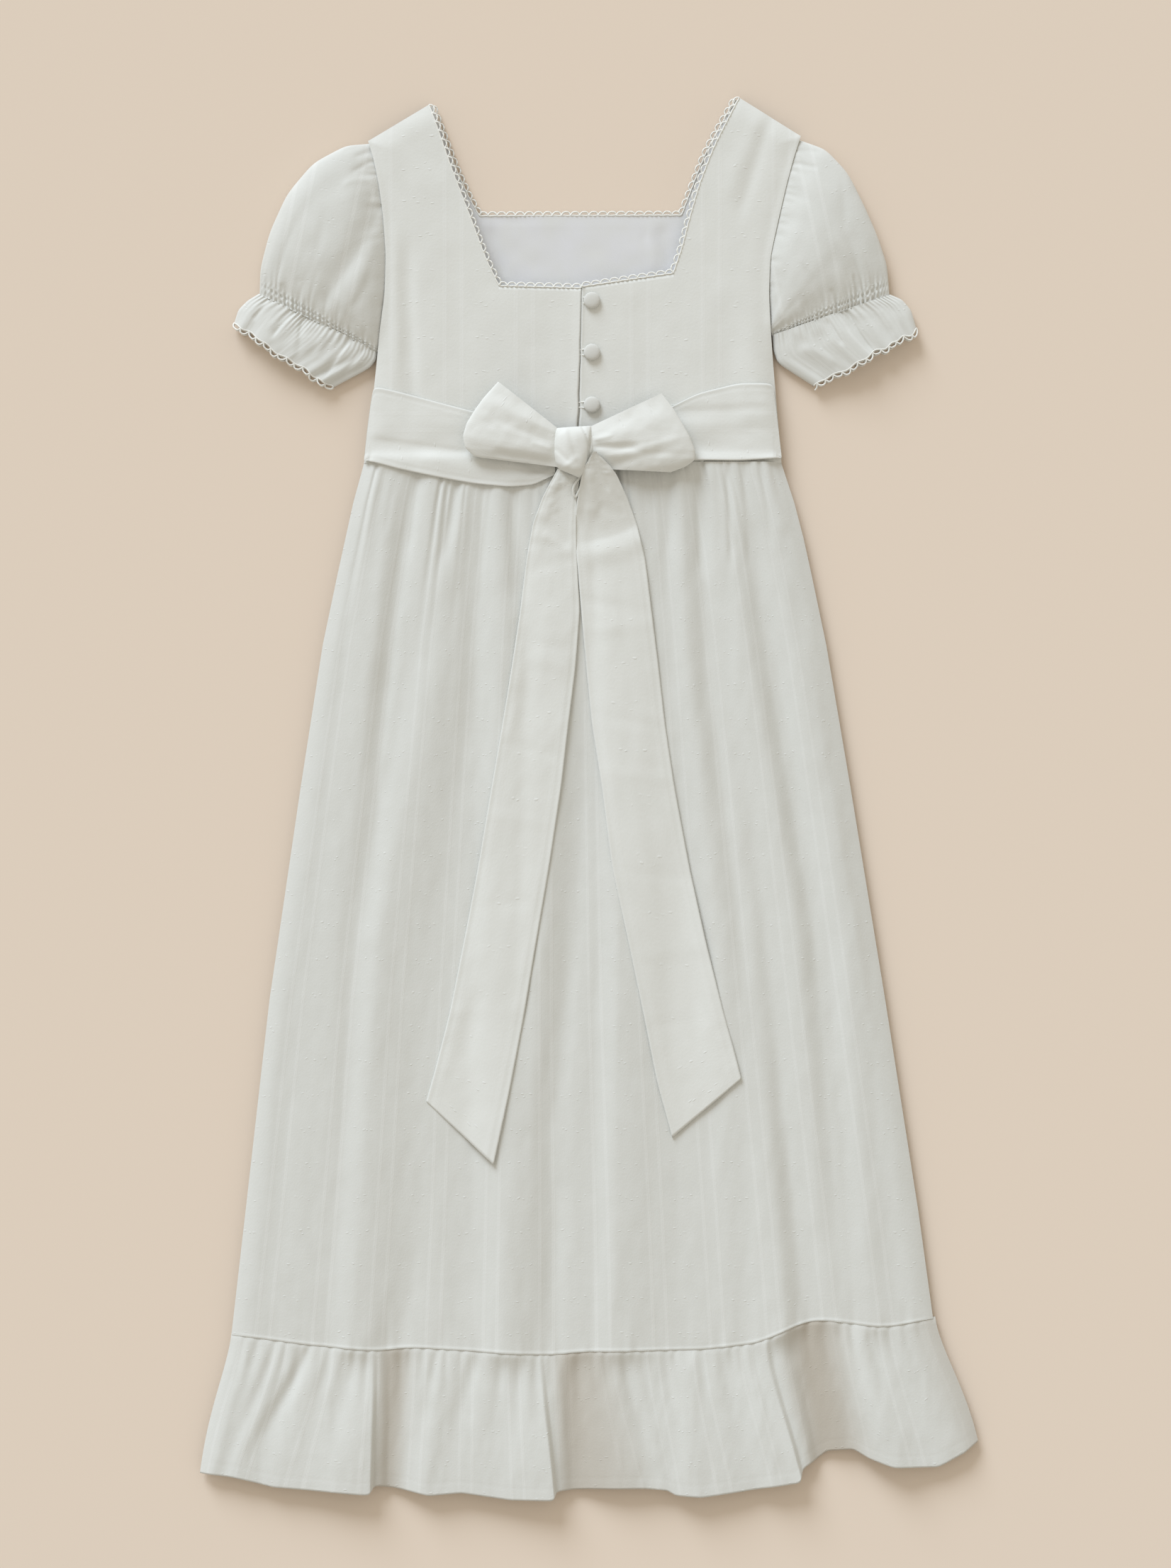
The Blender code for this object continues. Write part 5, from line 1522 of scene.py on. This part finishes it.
class DRESS_OT_neck_lace(bpy.types.Operator):
    """Makes the loop lace round the back and front neck edges."""

    bl_idname = "dress.neck_lace"
    bl_label = "Neck lace"

    def lace(self, name, path, side, height):
        look = bpy.context.scene.dress_look
        threads = neck_edging(path, side, height, look.lace_pitch / MM)
        obj = thread_mesh(name + "_thread", threads, look.lace_thread / MM / 2, "cotton_lace")
        dress_piece(obj, name)

    def execute(self, context):
        for name, rows, opening, side in (
            ("back_neck_lace_left", BACK_LEFT, -1, 1),
            ("back_neck_lace_right", BACK_RIGHT, 1, -1),
        ):
            edge = smooth_edge(rows, "neck_x", "neck_y", BACK_ROWS, BACK_NECK_ROW)
            centre_y = rows[BACK_NECK_ROW].centre_y
            centre = (float(opening_edge(centre_y, opening)), centre_y)
            down = edge[fine_row(rows, BACK_ROWS, BACK_NECK_ROW) :][::-1]
            self.lace(name, np.concatenate([down, [centre]]), side, cloth_top)
        left = smooth_edge(FRONT_NECK, "left_x", "left_y", BACK_ROWS, FRONT_NECK_ROW)
        right = smooth_edge(FRONT_NECK, "right_x", "right_y", BACK_ROWS, FRONT_NECK_ROW)
        corner = fine_row(FRONT_NECK, BACK_ROWS, FRONT_NECK_ROW)
        path = np.concatenate([left[corner:][::-1], right[corner:]])
        self.lace("front_neck_lace", path, 1, lambda x, y: front_bodice_height(x, y) + 2.0)
        return {"FINISHED"}


def tube_rings(rows, waves, bend=None, *, count, over, floor, plump, soft=6, lean=0.0):
    """Rings of a flattened cloth tube between a table's outer and inner lines, each ring's places s
    across it, and whether they are on the upper side, which has over cells. waves(v, s, x, y) adds to
    the upper side, and bend(v, s) moves the places. soft rounds the outline, and lean lowers the inner
    end."""
    fine = rounded_rows(rows, count, soft)
    even = np.linspace(0, 1, over + 1)
    s_over = 0.5 * (1 - np.cos(np.pi * even)) / 2 + 0.5 * even
    s = np.concatenate([s_over, np.linspace(1, 0, UNDERSIDE_CELLS + 1)[1:-1]])
    is_over = np.arange(len(s)) <= over
    sine = 2 * np.sqrt(np.clip(s * (1 - s), 0, None))
    rings = []
    for index, row in enumerate(fine):
        v = index / (count - 1)
        dx, dy = bend(v, s) if bend else (0, 0)
        x = row.out_x * (1 - s) + row.in_x * s + dx
        y = row.out_y * (1 - s) + row.in_y * s + dy
        swell = (row.top - row.side) * sine ** (plump * (1 + 2 * lean * s)) * (1 - lean * s**2)
        top = row.side + swell + waves(v, s, x, y) * np.clip(sine * 1.6, 0, 1)
        low = floor + (row.side - floor) * (1 - sine**0.4)
        rings.append(np.column_stack([x, y, np.where(is_over, top, low)]))
    return np.array(rings), s, is_over


def tube_cloth(rings, s, is_over, width, length):
    """Places on the flat cloth of a tube's points, with the first column given again at the end."""
    around = np.append(np.where(is_over, s * width, (2 - s) * width), 2 * width)
    along = np.linspace(0, length, len(rings))
    return np.stack(np.broadcast_arrays(around[None, :], along[:, None]), axis=-1)


def grain_cloth(rings, slant):
    """Places on the flat cloth of a sleeve whose grain runs nearly straight down."""
    x, y = rings[..., 0], rings[..., 1]
    across = x * math.cos(slant) + y * math.sin(slant)
    along = y * math.cos(slant) - x * math.sin(slant)
    cloth = np.dstack([1.15 * across, 1.1 * along])
    return np.concatenate([cloth, cloth[:, :1]], axis=1)


def tuck(rings, is_over, armhole, toward):
    """Keeps a sleeve's start below the bodice's edge, so that it comes out from under the seam."""
    x, y, z = rings[..., 0], rings[..., 1], rings[..., 2]
    edge = read(armhole, "outer_y", "outer_x", y)
    out = np.clip((edge - x) * toward - 0.3, 0, None)
    limit = back_bodice_height(edge, y) + 0.3 + 0.8 * out
    eased = -at_least(-z, -limit, 0.35 + 0.12 * np.clip(out, 0, 12))
    rings[..., 2] = np.where(is_over[None, :], eased, z)


def drawn_in(s, away, gathers, narrow, widening):
    """The troughs of gathers round a tube at the distance away from where they are sewn."""
    total = 0
    for at, depth, length in zip(*gathers):
        reach = away / length
        total = total + depth * np.exp(-(reach**1.6)) * bell(s - at, narrow * (1 + widening * reach))
    return total


def sleeve_waves(seed, fold_lines):
    """The folds of a puff sleeve: gathers at the cap, gathers above the elastic, and soft folds that
    run between them."""
    caps, casings = 26, 30
    crown = (
        spaced(caps, 0.6, seed),
        0.4 + 0.9 * scattered(caps, seed + 1),
        0.05 + 0.16 * scattered(caps, seed + 2) ** 2,
    )
    casing = (
        spaced(casings, 0.6, seed + 3),
        0.5 + 1.2 * scattered(casings, seed + 4),
        0.08 + 0.26 * scattered(casings, seed + 5) ** 2,
    )

    def waves(v, s, x, y):
        gathers = drawn_in(s, v, crown, 0.011, 1.5)
        gathers = gathers + drawn_in(s, np.clip(CASING_END - v, 0, None), casing, 0.010, 1.6)
        zigzag = 0.24 * np.sin(2 * np.pi * v * 22)
        ruche = 0.5 * np.cos(2 * np.pi * (31 * s + 0.5 * np.sin(17 * s) + zigzag))
        ruche = ruche * ease((v - CASING_START) * 20)
        stitches = 0.7 * sum(bell(v - at, 0.008) for at in CASING_STITCHES)
        soft = crumple(v * 90, s * 130, SLEEVE_CRUMPLE, seed)
        return 0.75 * (furrows(fold_lines, x, y) - gathers) + 0.85 * (ruche - stitches) + 0.6 + soft

    return waves


def reached(rows, distance):
    """A table whose last row is moved on a little, past the seam where the next piece starts."""
    before, last = rows[-2], rows[-1]
    moved = {}
    for end in ("out", "in"):
        step = np.array([getattr(last, end + axis) - getattr(before, end + axis) for axis in ("_x", "_y")])
        for axis, move in zip(("_x", "_y"), step / np.linalg.norm(step) * distance):
            moved[end + axis] = getattr(last, end + axis) + move
    return [*rows[:-1], last._replace(**moved)]


class DRESS_OT_sleeves(bpy.types.Operator):
    """Makes the puff sleeves, their frills and the lace at the cuffs."""

    bl_idname = "dress.sleeves"
    bl_label = "Sleeves"

    def sleeve(self, side, rows, fold_lines, armhole, toward, lean, seed):
        first = rows[0]

        def bend(v, s):
            y = first.out_y + s * (first.in_y - first.out_y)
            straight = first.out_x + s * (first.in_x - first.out_x)
            edge = read(armhole, "outer_y", "outer_x", y) + toward * SEAM_REACH
            return (edge - straight) * (1 - v) ** 3, 0

        waves = sleeve_waves(seed, fold_lines)
        rows = reached(rows, SEAM_REACH)
        shape = dict(count=96, over=220, floor=CUFF_FLOOR, plump=0.6, soft=15, lean=lean)
        rings, s, is_over = tube_rings(rows, waves, bend, **shape)
        tuck(rings, is_over, armhole, toward)
        obj = tube_object(side + "_sleeve_cloth", rings, grain_cloth(rings, -0.2 * toward), "dobby_cotton")
        dress_piece(obj, side + "_sleeve")

    def frill(self, side, rows, fold_lines, outward, seed):
        def flute(s):
            return 4.5 * s + 0.6 * np.sin(6 * s + seed)

        def waves(v, s, x, y):
            flutes = (0.1 + 0.7 * v) * np.cos(2 * np.pi * (flute(s) + 0.2 * v))
            gathers = 0.55 * np.cos(2 * np.pi * (29 * s + 0.8 * np.sin(13 * s + seed))) * (1 - v) ** 2
            soft = crumple(s * 90, v * 24, ((0.7, 7, 22, 20),), seed)
            soft = soft + crumple(s * 90, v * 30, ((0.25, 4, 8, 21),), seed)
            return flutes + gathers * (0.4 + 0.6 * np.cos(9 * s) ** 2) + soft + furrows(fold_lines, x, y)

        def bend(v, s):
            reach = v * (0.9 * np.cos(2 * np.pi * flute(s)) + 0.8 * np.sin(31 * s + seed))
            return outward[0] * reach, outward[1] * reach

        shape = dict(count=30, over=260, floor=CUFF_FLOOR, plump=0.6, soft=5, lean=0.25)
        rings, s, is_over = tube_rings(rows, waves, bend, **shape)
        cloth = tube_cloth(rings, s, is_over, 150.0, 24.0)
        obj = tube_object(side + "_frill_cloth", rings, cloth, "dobby_cotton")
        dress_piece(obj, side + "_frill")
        return np.concatenate([rings[-1], rings[-1][:1]])

    def lace(self, side, hem, outward):
        """Loop lace all round a frill's hem."""
        look = bpy.context.scene.dress_look
        lengths = run(hem[:, :2])
        low = hem[:, 2].mean() - 3

        def place(along, out):
            spot = np.stack([np.interp(along, lengths, hem[:, axis]) for axis in range(3)], axis=-1)
            lift = np.where(spot[:, 2] < low, 0.6, -0.3)
            return np.column_stack([spot[:, :2] + np.outer(out, outward), spot[:, 2] + lift])

        steps = np.linspace(0, lengths[-1], 160)
        edge = place(steps, np.full(len(steps), 0.4))
        threads = loop_edging(place, edge, lengths[-1], look.lace_pitch / MM, 1.15)
        lace = thread_mesh(side + "_cuff_lace_thread", threads, look.lace_thread / MM / 2, "cotton_lace")
        dress_piece(lace, side + "_cuff_lace")

    def execute(self, context):
        self.sleeve("left", LEFT_SLEEVE, LEFT_SLEEVE_FOLDS, BACK_LEFT, toward=1, lean=0.35, seed=101)
        hem = self.frill("left", LEFT_FRILL, LEFT_FRILL_FOLDS, LEFT_OUTWARD, seed=101)
        self.lace("left", hem, LEFT_OUTWARD)
        self.sleeve("right", RIGHT_SLEEVE, RIGHT_SLEEVE_FOLDS, BACK_RIGHT, toward=-1, lean=0.6, seed=131)
        hem = self.frill("right", RIGHT_FRILL, RIGHT_FRILL_FOLDS, RIGHT_OUTWARD, seed=131)
        self.lace("right", hem, RIGHT_OUTWARD)
        return {"FINISHED"}


def stitch_lines(share):
    """The depth of the two lines of stitches along the sash's edges."""
    across = share * SASH_WIDTH
    return 0.25 * (bell(across - STITCH_INSET, 0.7) + bell(SASH_WIDTH - across - STITCH_INSET, 0.7))


class DRESS_OT_sash(bpy.types.Operator):
    """Makes the sash across the waist and its two free ends."""

    bl_idname = "dress.sash"
    bl_label = "Sash"

    def band(self, node, rows, knot_x):
        fine = rounded_rows(rows, 90, 5)
        share = np.linspace(0, 1, 45)[None, :]
        x = column(fine, "x")[:, None] + 0 * share
        upper, lower = column(fine, "upper")[:, None], column(fine, "lower")[:, None]
        y = upper + share * (lower - upper)
        base = resting_height(x, y, 5.0, 6.0, 10)
        toward = ease(1 - np.abs(x - knot_x) / 60)
        pleats = 0.3 * toward * np.cos(2 * np.pi * (3.2 * share + 0.15))
        soft = 0.8 + pleats + crumple(x, y, BAND_CRUMPLE) + furrows(BAND_FOLDS, x, y)
        z = base + 1.0 + soft * ease(np.abs(x - rows[0].x) / 14) - stitch_lines(share)
        cloth = np.dstack([y - 240, x])
        turning = dict(edges=("left", "right"), depth=0.8, width=3.0)
        obj = sheet_object(node + "_cloth", np.dstack([x, y, z]), cloth, "sash_cotton", **turning)
        dress_piece(obj, node)

    def tail(self, node, rows, fold_lines, top_height, seed):
        fine = rounded_rows(rows, 260, 8)
        grid = between(pairs(fine, "left_x", "left_y"), pairs(fine, "right_x", "right_y"), 44)
        x, y = grid[..., 0], grid[..., 1]
        s = np.linspace(0, 1, 45)[None, :]
        v = np.linspace(0, 1, 260)[:, None]
        base = resting_height(x, y, 6.0, 6.0, 25)
        soft = crumple(s * SASH_WIDTH, v * TAIL_LENGTH, TAIL_CRUMPLE, seed)
        curl = 1.0 * ease((v - 0.86) / 0.14) * s
        drop = np.clip((fine[0].left_y - y) / TAIL_FALL, 0, None)
        high = np.clip((top_height - base) * np.clip(1 - drop, 0, 1) ** 1.6, 0, None)
        z = base + at_least(1.3 + furrows(fold_lines, x, y) + soft, 0.9) + high + curl - stitch_lines(s)
        cloth = np.stack(np.broadcast_arrays((s - 0.5) * 52.0, v * TAIL_LENGTH), axis=-1)
        turning = dict(edges=("left", "right", "last"), depth=0.8, width=3.0)
        obj = sheet_object(node + "_cloth", np.dstack([x, y, z]), cloth, "sash_cotton", **turning)
        dress_piece(obj, node)

    def curl(self):
        turn, at = np.linspace(0, 1, 24), np.linspace(0, 1, len(CURL))
        path = np.stack([rounded(np.interp(turn, at, column(CURL, axis)), 3) for axis in "xyz"], axis=-1)
        obj = thread_mesh("sash_tail_left_curl", [path], 0.9, "sash_cotton", 8)
        dress_piece(obj, "sash_tail_left")

    def execute(self, context):
        self.band("sash_band_left", LEFT_BAND, knot_x=-26)
        self.band("sash_band_right", RIGHT_BAND, knot_x=4)
        self.tail("sash_tail_left", LEFT_TAIL, LEFT_TAIL_FOLDS, top_height=14.5, seed=61)
        self.tail("sash_tail_right", RIGHT_TAIL, RIGHT_TAIL_FOLDS, top_height=23.5, seed=65)
        self.curl()
        return {"FINISHED"}


class DRESS_OT_bow(bpy.types.Operator):
    """Makes the bow's two loops and its knot."""

    bl_idname = "dress.bow"
    bl_label = "Bow"

    def loop(self, side, rows, fold_lines, seed):
        def waves(v, s, x, y):
            return furrows(fold_lines, x, y) + crumple(x, y, LOOP_CRUMPLE, seed)

        rings, s, is_over = tube_rings(rows, waves, count=90, over=130, floor=BOW_FLOOR, plump=0.7)
        cloth = tube_cloth(rings, s, is_over, 62.0, 52.0)[..., ::-1]
        obj = tube_object("bow_loop_%s_cloth" % side, rings, cloth, "sash_cotton")
        dress_piece(obj, "bow_loop_" + side)

    def knot(self):
        """A band of sash wrapped round the bow's middle, drawn in by its pleats."""
        fine = rounded_rows(KNOT, 70, 12)
        left, right = pairs(fine, "left_x", "left_y"), pairs(fine, "right_x", "right_y")
        share = (1 - np.cos(np.linspace(0, np.pi, 61))) / 2
        grid = left[:, None] * (1 - share[None, :, None]) + right[:, None] * share[None, :, None]
        x, y = grid[..., 0], grid[..., 1]
        across = np.abs(2 * share[None, :] - 1)
        along = np.abs(np.linspace(-1, 1, 70))[:, None]
        dome = (1 - across**3.2) ** 0.55 * (1 - 0.4 * along**5)
        soft = (furrows(KNOT_FOLDS, x, y) + crumple(x, y, KNOT_CRUMPLE)) * ease((1 - across) * 6)
        z = KNOT_FLOOR + (KNOT_TOP - KNOT_FLOOR) * dome + soft
        cloth = np.dstack([x - 2, y + 0.2 * x])
        turning = dict(edges=("first", "last"), depth=2.5, width=1.5)
        obj = sheet_object("bow_knot_cloth", np.dstack([x, y, z]), cloth, "sash_cotton", **turning)
        dress_piece(obj, "bow_knot")

    def execute(self, context):
        self.loop("left", LEFT_BOW, LEFT_BOW_FOLDS, 81)
        self.loop("right", RIGHT_BOW, RIGHT_BOW_FOLDS, 91)
        self.knot()
        return {"FINISHED"}


class DRESS_OT_buttons(bpy.types.Operator):
    """Makes the covered buttons and the thread loops that hold them."""

    bl_idname = "dress.buttons"
    bl_label = "Buttons"

    def button(self, index, y, floor):
        angle = np.linspace(0, 2 * np.pi, BUTTON_CELLS, endpoint=False)
        rings = []
        for row in BUTTON_PROFILE:
            pucker = 1 + 0.012 * np.cos(11 * angle) * (row.radius > 0.8)
            radius = BUTTON_RADIUS * row.radius * pucker
            z = np.full(BUTTON_CELLS, floor + row.height)
            rings.append(np.column_stack([BUTTON_X + radius * np.cos(angle), y + radius * np.sin(angle), z]))
        rings = np.array(rings)
        cloth = np.concatenate([rings, rings[:, :1]], axis=1)[..., :2]
        cover = tube_object("button_%d_cover" % index, rings, cloth, "covered_button")
        dress_piece(cover, "button_%d" % index)

    def thread_loop(self, index, y, floor, thread):
        turn = np.radians(np.linspace(140, -140, 25))
        reach = BUTTON_RADIUS * 0.62
        arc = np.column_stack([BUTTON_X + reach * np.cos(turn), y + reach * np.sin(turn)])
        edge = float(opening_edge(y, -1)) - 1.2
        path = np.array([(edge, y + 1.6), *arc, (edge, y - 1.6)])
        height = np.full(len(path), floor + 0.45)
        height[0] = height[-1] = floor - 0.5
        path = np.column_stack([path, height])
        loop = thread_mesh("button_loop_%d_thread" % index, [path], thread * 0.45, "cotton_lace")
        dress_piece(loop, "button_loop_%d" % index)

    def execute(self, context):
        for index, y in enumerate(BUTTON_Y, 1):
            floor = float(back_bodice_height(np.array(BUTTON_X), np.array(y))) + 1.4
            self.button(index, y, floor)
            self.thread_loop(index, y, floor, context.scene.dress_look.lace_thread / MM)
        return {"FINISHED"}


# The stage: how far the floor reaches, the lights' colours, and the length that fills the view's height
FLOOR_REACH = 6.0
KEY_COLOUR = (0.77, 0.87, 1.0)
FILL_COLOUR = (0.975, 0.925, 0.83, 1.0)
SENSOR_HEIGHT = 36.0
VIEW_LENGTH = 1106.5
VIEW_MIDDLE = (-2.5, 10.75)


class DRESS_OT_stage(bpy.types.Operator):
    """Makes the floor, the studio light and the camera."""

    bl_idname = "dress.stage"
    bl_label = "Stage"

    def execute(self, context):
        scene = context.scene
        light = scene.dress_light
        mesh = bpy.data.meshes.new("floor")
        corners = [(x * FLOOR_REACH, y * FLOOR_REACH, 0) for x, y in ((-1, -1), (1, -1), (1, 1), (-1, 1))]
        mesh.from_pydata(corners, [], [(0, 1, 2, 3)])
        # Painted board: flat and matt, so that only the soft shadows show on it
        levels = {"Roughness": 0.9, "Specular IOR Level": 0.1}
        board, shader = new_material("painted_board", levels)
        shader.inputs["Base Color"].default_value = linear(scene.dress_look.floor_colour)
        mesh.materials.append(board)
        floor = bpy.data.objects.new("floor", mesh)
        scene.collection.objects.link(floor)
        floor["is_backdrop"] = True

        sun = bpy.data.lights.new("key", "SUN")
        sun.energy = light.key_energy
        sun.angle = light.key_softness
        sun.color = KEY_COLOUR
        lamp = bpy.data.objects.new("key", sun)
        lamp.rotation_euler = (math.pi / 2 - light.key_elevation, 0, light.key_azimuth + math.pi / 2)
        scene.collection.objects.link(lamp)

        world = bpy.data.worlds.new("studio")
        world.use_nodes = True
        background = world.node_tree.nodes["Background"]
        background.inputs["Color"].default_value = FILL_COLOUR
        background.inputs["Strength"].default_value = light.fill
        scene.world = world
        scene.view_settings.view_transform = "Standard"

        camera = bpy.data.cameras.new("camera")
        camera.sensor_fit = "VERTICAL"
        camera.sensor_height = SENSOR_HEIGHT
        camera.lens = SENSOR_HEIGHT * light.view_height / (VIEW_LENGTH * MM)
        lens = bpy.data.objects.new("camera", camera)
        lens.location = (VIEW_MIDDLE[0] * MM, (VIEW_MIDDLE[1] - MIDDLE_Y) * MM, light.view_height)
        scene.collection.objects.link(lens)
        scene.camera = lens
        return {"FINISHED"}


class DRESS_PT_panel(bpy.types.Panel):
    """Lists the dress's pieces and its sizes and colours."""

    bl_label = "Dress"
    bl_idname = "DRESS_PT_panel"
    bl_space_type = "VIEW_3D"
    bl_region_type = "UI"
    bl_category = "Dress"

    def draw(self, context):
        layout = self.layout
        for operator in OPERATORS:
            layout.operator(operator.bl_idname)
        for group in (context.scene.dress_look, context.scene.dress_light):
            box = layout.box()
            for name in group.__annotations__:
                box.prop(group, name)


OPERATORS = (
    DRESS_OT_skirt,
    DRESS_OT_ruffle,
    DRESS_OT_bodice,
    DRESS_OT_neck_lace,
    DRESS_OT_sleeves,
    DRESS_OT_sash,
    DRESS_OT_bow,
    DRESS_OT_buttons,
    DRESS_OT_stage,
)
CLASSES = (DressLook, DressLight, *OPERATORS, DRESS_PT_panel)


def register():
    for cls in CLASSES:
        bpy.utils.register_class(cls)
    bpy.types.Scene.dress_look = bpy.props.PointerProperty(type=DressLook)
    bpy.types.Scene.dress_light = bpy.props.PointerProperty(type=DressLight)


def unregister():
    del bpy.types.Scene.dress_light
    del bpy.types.Scene.dress_look
    for cls in reversed(CLASSES):
        bpy.utils.unregister_class(cls)


def main():
    register()
    bpy.ops.dress.skirt()
    bpy.ops.dress.ruffle()
    bpy.ops.dress.bodice()
    bpy.ops.dress.neck_lace()
    bpy.ops.dress.sleeves()
    bpy.ops.dress.sash()
    bpy.ops.dress.bow()
    bpy.ops.dress.buttons()
    bpy.ops.dress.stage()
    boxes = {"cad": [list(corner) for corner in CAD_BOX], "visual": [list(corner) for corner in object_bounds()]}


if __name__ == "__main__":
    main()
